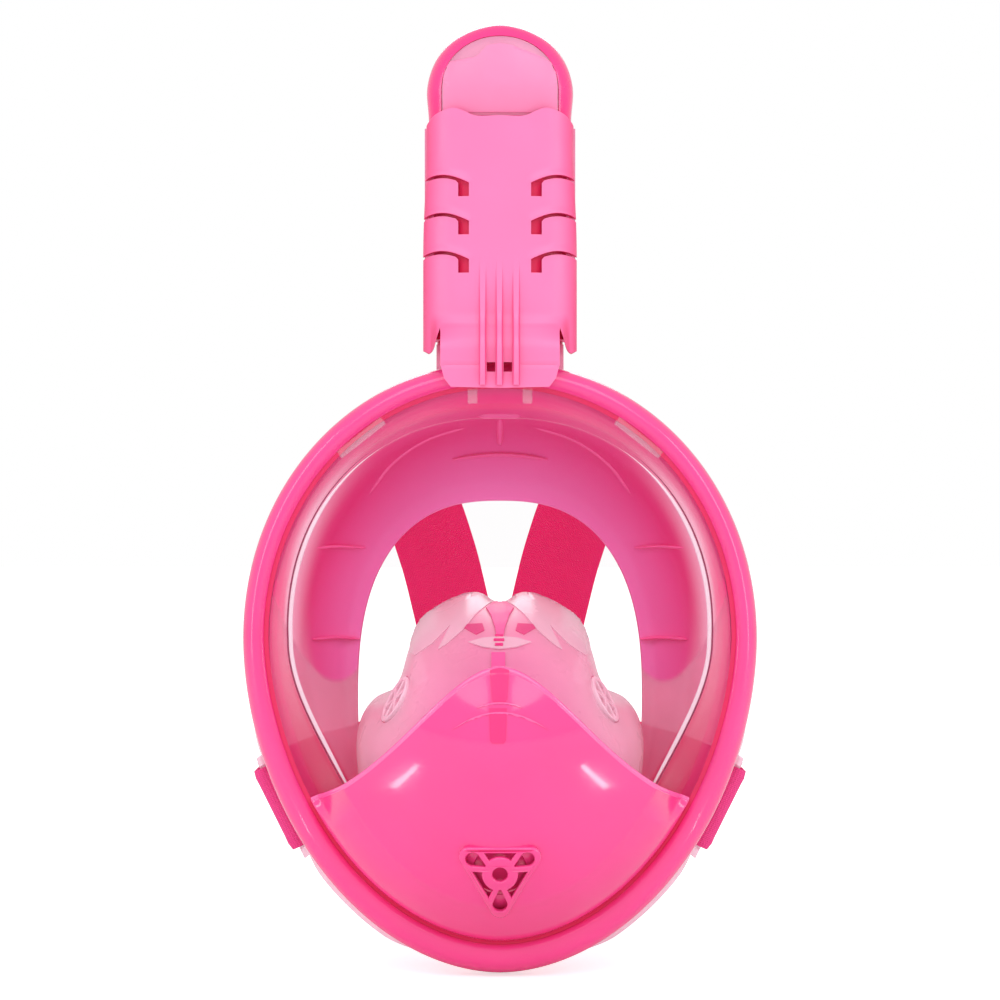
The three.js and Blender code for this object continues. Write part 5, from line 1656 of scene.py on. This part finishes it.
WINDOW_HALF, WINDOW_SHOULDER = 19.6, 184
PANEL_HALF = [
    (0, 200.2), (4.4, 199.4), (7.4, 196), (9, 195.2), (13, 194.6), (18.4, 194.2), (19, 188), (19, 177)
]
INLETS_X = (-12, -4, 4, 12)
INLET_HALF, INLET_BOTTOM, INLET_TOP = 2.5, 194, 197


def window_arch(grow):
    low = CAP_BOTTOM + 2.4 - grow
    w = WINDOW_HALF + grow
    rise = CAP_TOP - 4.6 - WINDOW_SHOULDER + grow
    a = np.radians(np.linspace(0, 180, 60))
    arch = np.stack([w * np.cos(a), WINDOW_SHOULDER + rise * np.sin(a).clip(0) ** 0.9], 1)
    points = np.concatenate([[(w, low)], arch, [(-w, low)]])
    return prism("arch", points, TUBE_MIDDLE - 3, TUBE_MIDDLE - 23, axis="y")


def snorkel_cap():
    made = cap_dome("snorkel_cap_dome", 0.0)
    combine(made, window_arch(0.15), "DIFFERENCE")
    for x in INLETS_X:
        low, high = (x - INLET_HALF, TUBE_MIDDLE + 4, INLET_BOTTOM), (x + INLET_HALF, 0, INLET_TOP)
        combine(made, block("inlet", low, high), "DIFFERENCE")
    smooth_shade(made, 40)
    finish_piece(made, CAP_PINK, "snorkel", ["snorkel_cap"])
    pane = cap_dome("snorkel_cap_window", 0.25)
    combine(pane, window_arch(0), "INTERSECT")
    smooth_shade(pane, 40)
    finish_piece(pane, WINDOW, "snorkel", ["cap_window"])
    bpy.context.view_layer.update()
    outline = [*PANEL_HALF, *[(-x, z) for x, z in PANEL_HALF[:0:-1]]]
    laid_on("cap_window_panel", pane, outline, 0.05, 0.25, PANEL, "snorkel")


def snorkel_socket():
    made = prism("snorkel_socket_neck", socket_outline(0), 84, SOCKET_TOP)
    for side in (-1, 1):
        near, far = side * (KNUCKLE_HALF + GAP), side * (KNUCKLE_HALF + GAP + LUG)
        combine(made, rod("lug", pivot(near), pivot(far), KNUCKLE_RADIUS), "UNION")
        low = (min(near, far), TUBE_BACK - 5, 93.8)
        high = (max(near, far), PIVOT_Y + KNUCKLE_RADIUS - 0.02, PIVOT_Z - 2.6)
        combine(made, block("arm", low, high), "UNION")
    combine(made, prism("bore", socket_outline(2), 70, SOCKET_TOP + 8), "DIFFERENCE")
    combine(made, rod("hole", pivot(-22), pivot(22), PIN_ROOM), "DIFFERENCE")
    # The neck stands on the frame's outer wall.
    a = round_angles(240)
    r = frame_radius(a) + GAP
    inside = np.stack([r * np.cos(a), r * np.sin(a)], 1)
    combine(made, prism("core", inside, -90, 10, axis="y"), "DIFFERENCE")
    smooth_shade(made, 35)
    return finish_piece(made, TUBE, replaces=["snorkel_socket"])


# ---- Straps ----


def strip(name, path, wide, closed=False):
    """A flat strap along a path of points, with its width along the given directions."""
    step = np.roll(path, -1, 0) - np.roll(path, 1, 0) if closed else np.gradient(path, axis=0)
    along = unit(step)
    wide = unit(wide - along * np.sum(wide * along, 1, keepdims=True))
    through = np.cross(along, wide)
    across = np.concatenate([np.linspace(-1, 1, 13), np.linspace(1, -1, 13)])
    depth = np.concatenate([-np.ones(13), np.ones(13)])
    depth[[0, 12, 13, 25]] *= 0.45
    lip = 1 + 0.12 * (abs(across) > 0.78) * (abs(across) < 0.99)
    u, v = across * STRAP_WIDTH / 2, depth * STRAP_THICK / 2 * lip
    sections = path[:, None] + wide[:, None] * u[None, :, None] + through[:, None] * v[None, :, None]
    made = sweep(name, sections, closed=closed, sharp=60)
    length = np.r_[0, np.cumsum(np.linalg.norm(np.diff(path, axis=0), axis=1))]
    # Doubles are merged when the mesh is made, so UVs are found again from each point's place.
    flat = sections.reshape(-1, 3)
    uv = np.stack([np.tile(u, len(path)), np.repeat(length, len(u))], 1)
    layer = made.data.uv_layers.new(name="strip")
    where = np.array([v.co for v in made.data.vertices]) / MM
    if len(where) == len(flat):
        order = np.arange(len(flat))
    else:
        order = np.array([np.argmin(((flat - w) ** 2).sum(1)) for w in where])
    for loop in made.data.loops:
        layer.data[loop.index].uv = uv[order[loop.vertex_index]]
    return made


# Each strap runs this far into the fold of its loop.
SEWN_IN = 3


def upper_route(side):
    """A strap's points, its width's direction at both ends, and where it turns from one to the other."""
    place, along = anchor("upper_left" if side < 0 else "upper_right")
    start = place + [0, STRAP_START - SEWN_IN, 0]
    end = np.array([side * 17.4, PAD_Y + 0.9, -3])
    points = [
        start, start + [side * 0.5, 26, 0], (side * 46, 72, 65), (side * 33, 103, 50),
        (side * 24.6, 116, 27), (side * 19.4, PAD_Y - 0.4, 6), end
    ]
    return points, along, np.array([0.95, 0, -side * 0.31]), (0.25, 0.8)


def lower_route(side):
    place, along = anchor("lower_left" if side < 0 else "lower_right")
    start = place + [0, STRAP_START - SEWN_IN, 0]
    back = [start + [0, STRAIGHT * k, 0] for k in (0.5, 0.85, 1)]
    points = [
        start, *back, (side * 64, 76, -55.5), (side * 50, 103, -53), (side * 33, PAD_Y - 6, -42),
        (side * 22, PAD_Y - 0.9, -37.5)
    ]
    return points, along, np.array([side * 0.12, 0, 0.99]), (0.5, 0.9)


def head_straps():
    for level, route in (("upper", upper_route), ("lower", lower_route)):
        for name, side in SIDES.items():
            points, first, last, (turn_from, turn_to) = route(side)
            path = spline(points, 120)
            if np.dot(first, last) < 0:
                last = -last
            t = np.linspace(0, 1, len(path))
            wide = mix(first, last, smooth(t, turn_from, turn_to)[:, None])
            made = strip(f"{level}_strap_{name}_webbing", path, wide)
            finish_piece(made, WEBBING, replaces=[f"{level}_strap_{name}"])
            sew_strap_end(f"{level}_strap_{name}", path, wide)


# How far from a strap's end its two rows of stitches run.
SEWN_ROWS = (2.0, 13.0)


def sew_strap_end(name, path, wide):
    """Two rows of stitches across a strap's end on the back pad, and one along each edge between them."""
    left = np.linalg.norm(np.diff(path, axis=0), axis=1)[::-1].cumsum()
    near, far = (len(path) - 2 - int(np.searchsorted(left, back)) for back in SEWN_ROWS)
    out = lambda i: unit(np.cross(path[i + 1] - path[i], wide[i]))
    rise = {i: out(i) * (1 if out(i)[1] > 0 else -1) for i in range(far, near + 1)}
    reach = STRAP_WIDTH / 2 - 2.6
    at = lambda i, share: path[i] + unit(wide[i]) * share * reach + rise[i] * STRAP_THICK / 2
    for row, i in (("near", near), ("far", far)):
        line = np.array([at(i, share) for share in np.linspace(-1, 1, 24)])
        stitches(f"{name}_stitches_{row}", line, np.tile(rise[i], (24, 1)))
    for row, share in (("first", -1), ("second", 1)):
        line = np.array([at(i, share) for i in range(far, near + 1)])
        stitches(f"{name}_stitches_{row}", line, np.array([rise[i] for i in range(far, near + 1)]))


def strap_loops():
    """Webbing sewn round each strap bar."""
    for name in ANCHORS:
        place, along = anchor(name)
        through = unit(np.cross([0, 1, 0], along))
        middle = LOOP_INNER + STRAP_THICK / 2
        near = arc(middle, 90, 270, 25)
        far = [(LOOP_LENGTH + y, t) for y, t in arc(middle, -90, 90, 25)]
        ring = []
        for (y0, t0), (y1, t1) in zip(near + far, (near + far)[1:] + near[:1]):
            count = 12 if abs(y1 - y0) > 5 else 1
            ring += [(mix(y0, y1, k / count), mix(t0, t1, k / count)) for k in range(count)]
        path = np.array([place + np.array([0, y, 0]) + through * t for y, t in ring])
        made = strip(f"strap_loop_{name}_webbing", path, np.tile(along, (len(path), 1)), closed=True)
        finish_piece(made, LOOP, replaces=[f"strap_loop_{name}"])
        for row, back in (("near", LOOP_LENGTH - 5), ("far", LOOP_LENGTH - 1)):
            for face, sign in (("upper", 1), ("lower", -1)):
                middle_line = place + np.array([0, back, 0]) + sign * through * (LOOP_INNER + STRAP_THICK)
                line = middle_line + along * np.linspace(-12.6, 12.6, 24)[:, None]
                stitches(f"strap_loop_{name}_stitches_{row}_{face}", line, np.tile(sign * through, (24, 1)))


SLIDER_GAP, SLIDER_LENGTH, SLIDER_HALF_THICK, SLIDER_RIM = 3, 12, 2.6, 3
GRIP_PITCH, GRIP_DEPTH = 2, 0.07


def strap_sliders():
    """A flat plastic sleeve with grip ridges, which takes up the strap."""
    for name in SIDES:
        place, along = anchor(f"lower_{name}")
        start, length = STRAP_START + SLIDER_GAP, SLIDER_LENGTH
        w, t = STRAP_WIDTH / 2 + SLIDER_RIM, SLIDER_HALF_THICK
        outline = rounded([(-w, -t), (w, -t), (w, t), (-w, t)], 1.9, 6)
        sections = []
        for y in np.linspace(0, length, 49):
            ends = 1 - 0.12 * (abs(y - length / 2) / (length / 2)) ** 6
            wave = 0.5 + 0.5 * math.cos(2 * math.pi * y / GRIP_PITCH)
            ridge = 1 - GRIP_DEPTH * wave * (1.5 < y < length - 1.5)
            sections.append([(u * (1 - (1 - ends) * 0.15), v * ends * ridge, start + y) for u, v in outline])
        made = sweep(f"strap_slider_{name}_sleeve", np.array(sections), closed=False, sharp=50)
        hole = rounded([(-w + 2.4, -1.3), (w - 2.4, -1.3), (w - 2.4, 1.3), (-w + 2.4, 1.3)], 0.5, 3)
        combine(made, prism("hole", hole, start - 5, start + length + 5), "DIFFERENCE")
        z = Vector((0, 1, 0))
        x = Vector(along)
        turn = Matrix((x, z.cross(x), z)).transposed().to_4x4()
        made.data.transform(Matrix.Translation(Vector(place) * MM) @ turn)
        smooth_shade(made, 50)
        finish_piece(made, PINK, f"slider_{name}", [f"strap_slider_{name}"])


# A row's pitch, each stitch's length and radius, and then its rings: how far along each is, and how thick.
STITCH_PITCH, STITCH_LENGTH, THREAD_RADIUS = 2.6, 1.7, 0.3
STITCH_RINGS = [(0, 0.3), (0.12, 0.85), (0.5, 1), (0.88, 0.85), (1, 0.3)]


def stitches(name, path, out):
    """A row of sewn stitches along a path, each a small rounded thread, raised the given ways."""
    run = np.r_[0, np.cumsum(np.linalg.norm(np.diff(path, axis=0), axis=1))]
    starts = np.arange(STITCH_PITCH / 2, run[-1] - STITCH_LENGTH, STITCH_PITCH)
    reaches = starts[:, None] + STITCH_LENGTH * np.array([along for along, _ in STITCH_RINGS])
    centres = np.stack([np.interp(reaches, run, path[:, k]) for k in range(3)], -1)
    ups = unit(np.stack([np.interp(starts, run, out[:, k]) for k in range(3)], -1))
    points, faces = [], []
    for centre, rise in zip(centres, ups):
        along = unit(centre[-1] - centre[0])
        side = np.cross(along, rise)
        start = len(points)
        for at, (_, swell) in zip(centre, STITCH_RINGS):
            for a in round_angles(6):
                across = side * math.cos(a) + rise * (math.sin(a) + 0.2)
                points.append(at + across * THREAD_RADIUS * swell)
        faces += grid_faces(5, 6, False, True, start)
        faces += [tuple(range(start, start + 6)), tuple(range(start + 29, start + 23, -1))]
    made = mesh_object(name, points, faces, 80)
    return finish_piece(made, THREAD)


PAD_TOP, PAD_TOP_SLOPE, PAD_BOTTOM_BEND = 7, 0.34, 150
PAD_ROWS, PAD_COLUMNS = 48, 60


def back_pad():
    """A sewn pad with a soft crown and a stitched edge."""

    def grid(sign):
        lines = []
        x = np.linspace(-PAD_HALF, PAD_HALF, PAD_COLUMNS + 1)
        top, bottom = PAD_TOP - PAD_TOP_SLOPE * abs(x), PAD_BOTTOM + x**2 / PAD_BOTTOM_BEND
        for v in np.linspace(0, 1, PAD_ROWS + 1):
            waist = 1 - smooth(abs(x), 10, PAD_HALF) * (0.05 + 0.11 * smooth(v, 0, 0.45))
            to_edge = np.minimum(PAD_HALF - abs(x), 56 * min(v, 1 - v))
            thick = PAD_THICK / 2 * (0.45 + 0.55 * smooth(to_edge, 0, 2.2)) + 0.5 * smooth(to_edge, 3, 12)
            thick = thick - 0.35 * np.exp(-(((to_edge - 2.8) / 0.7) ** 2))
            y = PAD_Y - x**2 / PAD_BEND + sign * thick
            lines.append(xyz(x * waist, y, mix(top, bottom, v)))
        return np.array(lines)

    made = shell("back_pad_cushion", grid(-1), grid(1), sharp=70)
    layer = made.data.uv_layers.new(name="strip")
    for loop in made.data.loops:
        place = made.data.vertices[loop.vertex_index].co / MM
        layer.data[loop.index].uv = (place.x, place.z)
    finish_piece(made, WEBBING, replaces=["back_pad"])
    pad_stitches(grid)


def pad_stitches(grid):
    """A line of stitches round the pad near its edge, on both faces."""
    near = 3
    right, bottom = PAD_COLUMNS - near, PAD_ROWS - near
    ring = [(near, c) for c in range(near, right + 1)]
    ring += [(r, right) for r in range(near + 1, bottom + 1)]
    ring += [(bottom, c) for c in range(right - 1, near - 1, -1)]
    ring += [(r, near) for r in range(bottom - 1, near - 1, -1)]
    for name, sign in (("inner", -1), ("outer", 1)):
        face = grid(sign)
        path = np.array([face[r, c] for r, c in ring])
        stitches(f"back_pad_stitches_{name}", path, np.tile([0.0, sign, 0.0], (len(path), 1)))


def main():
    camera_and_stage()
    front_frame()
    frame_shade_line()
    rear_frame()
    visor()
    # A painted highlight and a painted line of shade along the visor's corner.
    visor_edge("visor_edge_highlight", inward=1.0, wide=0.75, deep=0.5, paint=VISOR_EDGE_HIGHLIGHT)
    visor_edge("visor_edge_shade_line", inward=-0.05, wide=0.28, deep=0.4, paint=VISOR_EDGE_SHADE)
    visor_clips()
    chin_cover()
    purge_grille()
    face_skirt()
    skirt_ribs()
    nose_pocket()
    inhale_valves()
    rear_tube()
    front_cover()
    cover_ribs()
    snorkel_cap()
    snorkel_socket()
    head_straps()
    strap_loops()
    strap_sliders()
    back_pad()
    plain = {
        "purge_flap": PINK, "purge_valve_seat": PINK, "inhale_flap_left": VALVE, "inhale_flap_right": VALVE,
        "channel_wall_left": TUBE, "channel_wall_right": TUBE, "float_floor": PINK, "float_seat": PINK,
        "float_body": VALVE, "float_seal": VALVE, "socket_gasket": VALVE, "hinge_pin": STEEL,
    }
    for node, paint in plain.items():
        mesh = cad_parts[node].data
        mesh.materials.clear()
        mesh.materials.append(paint)


main()
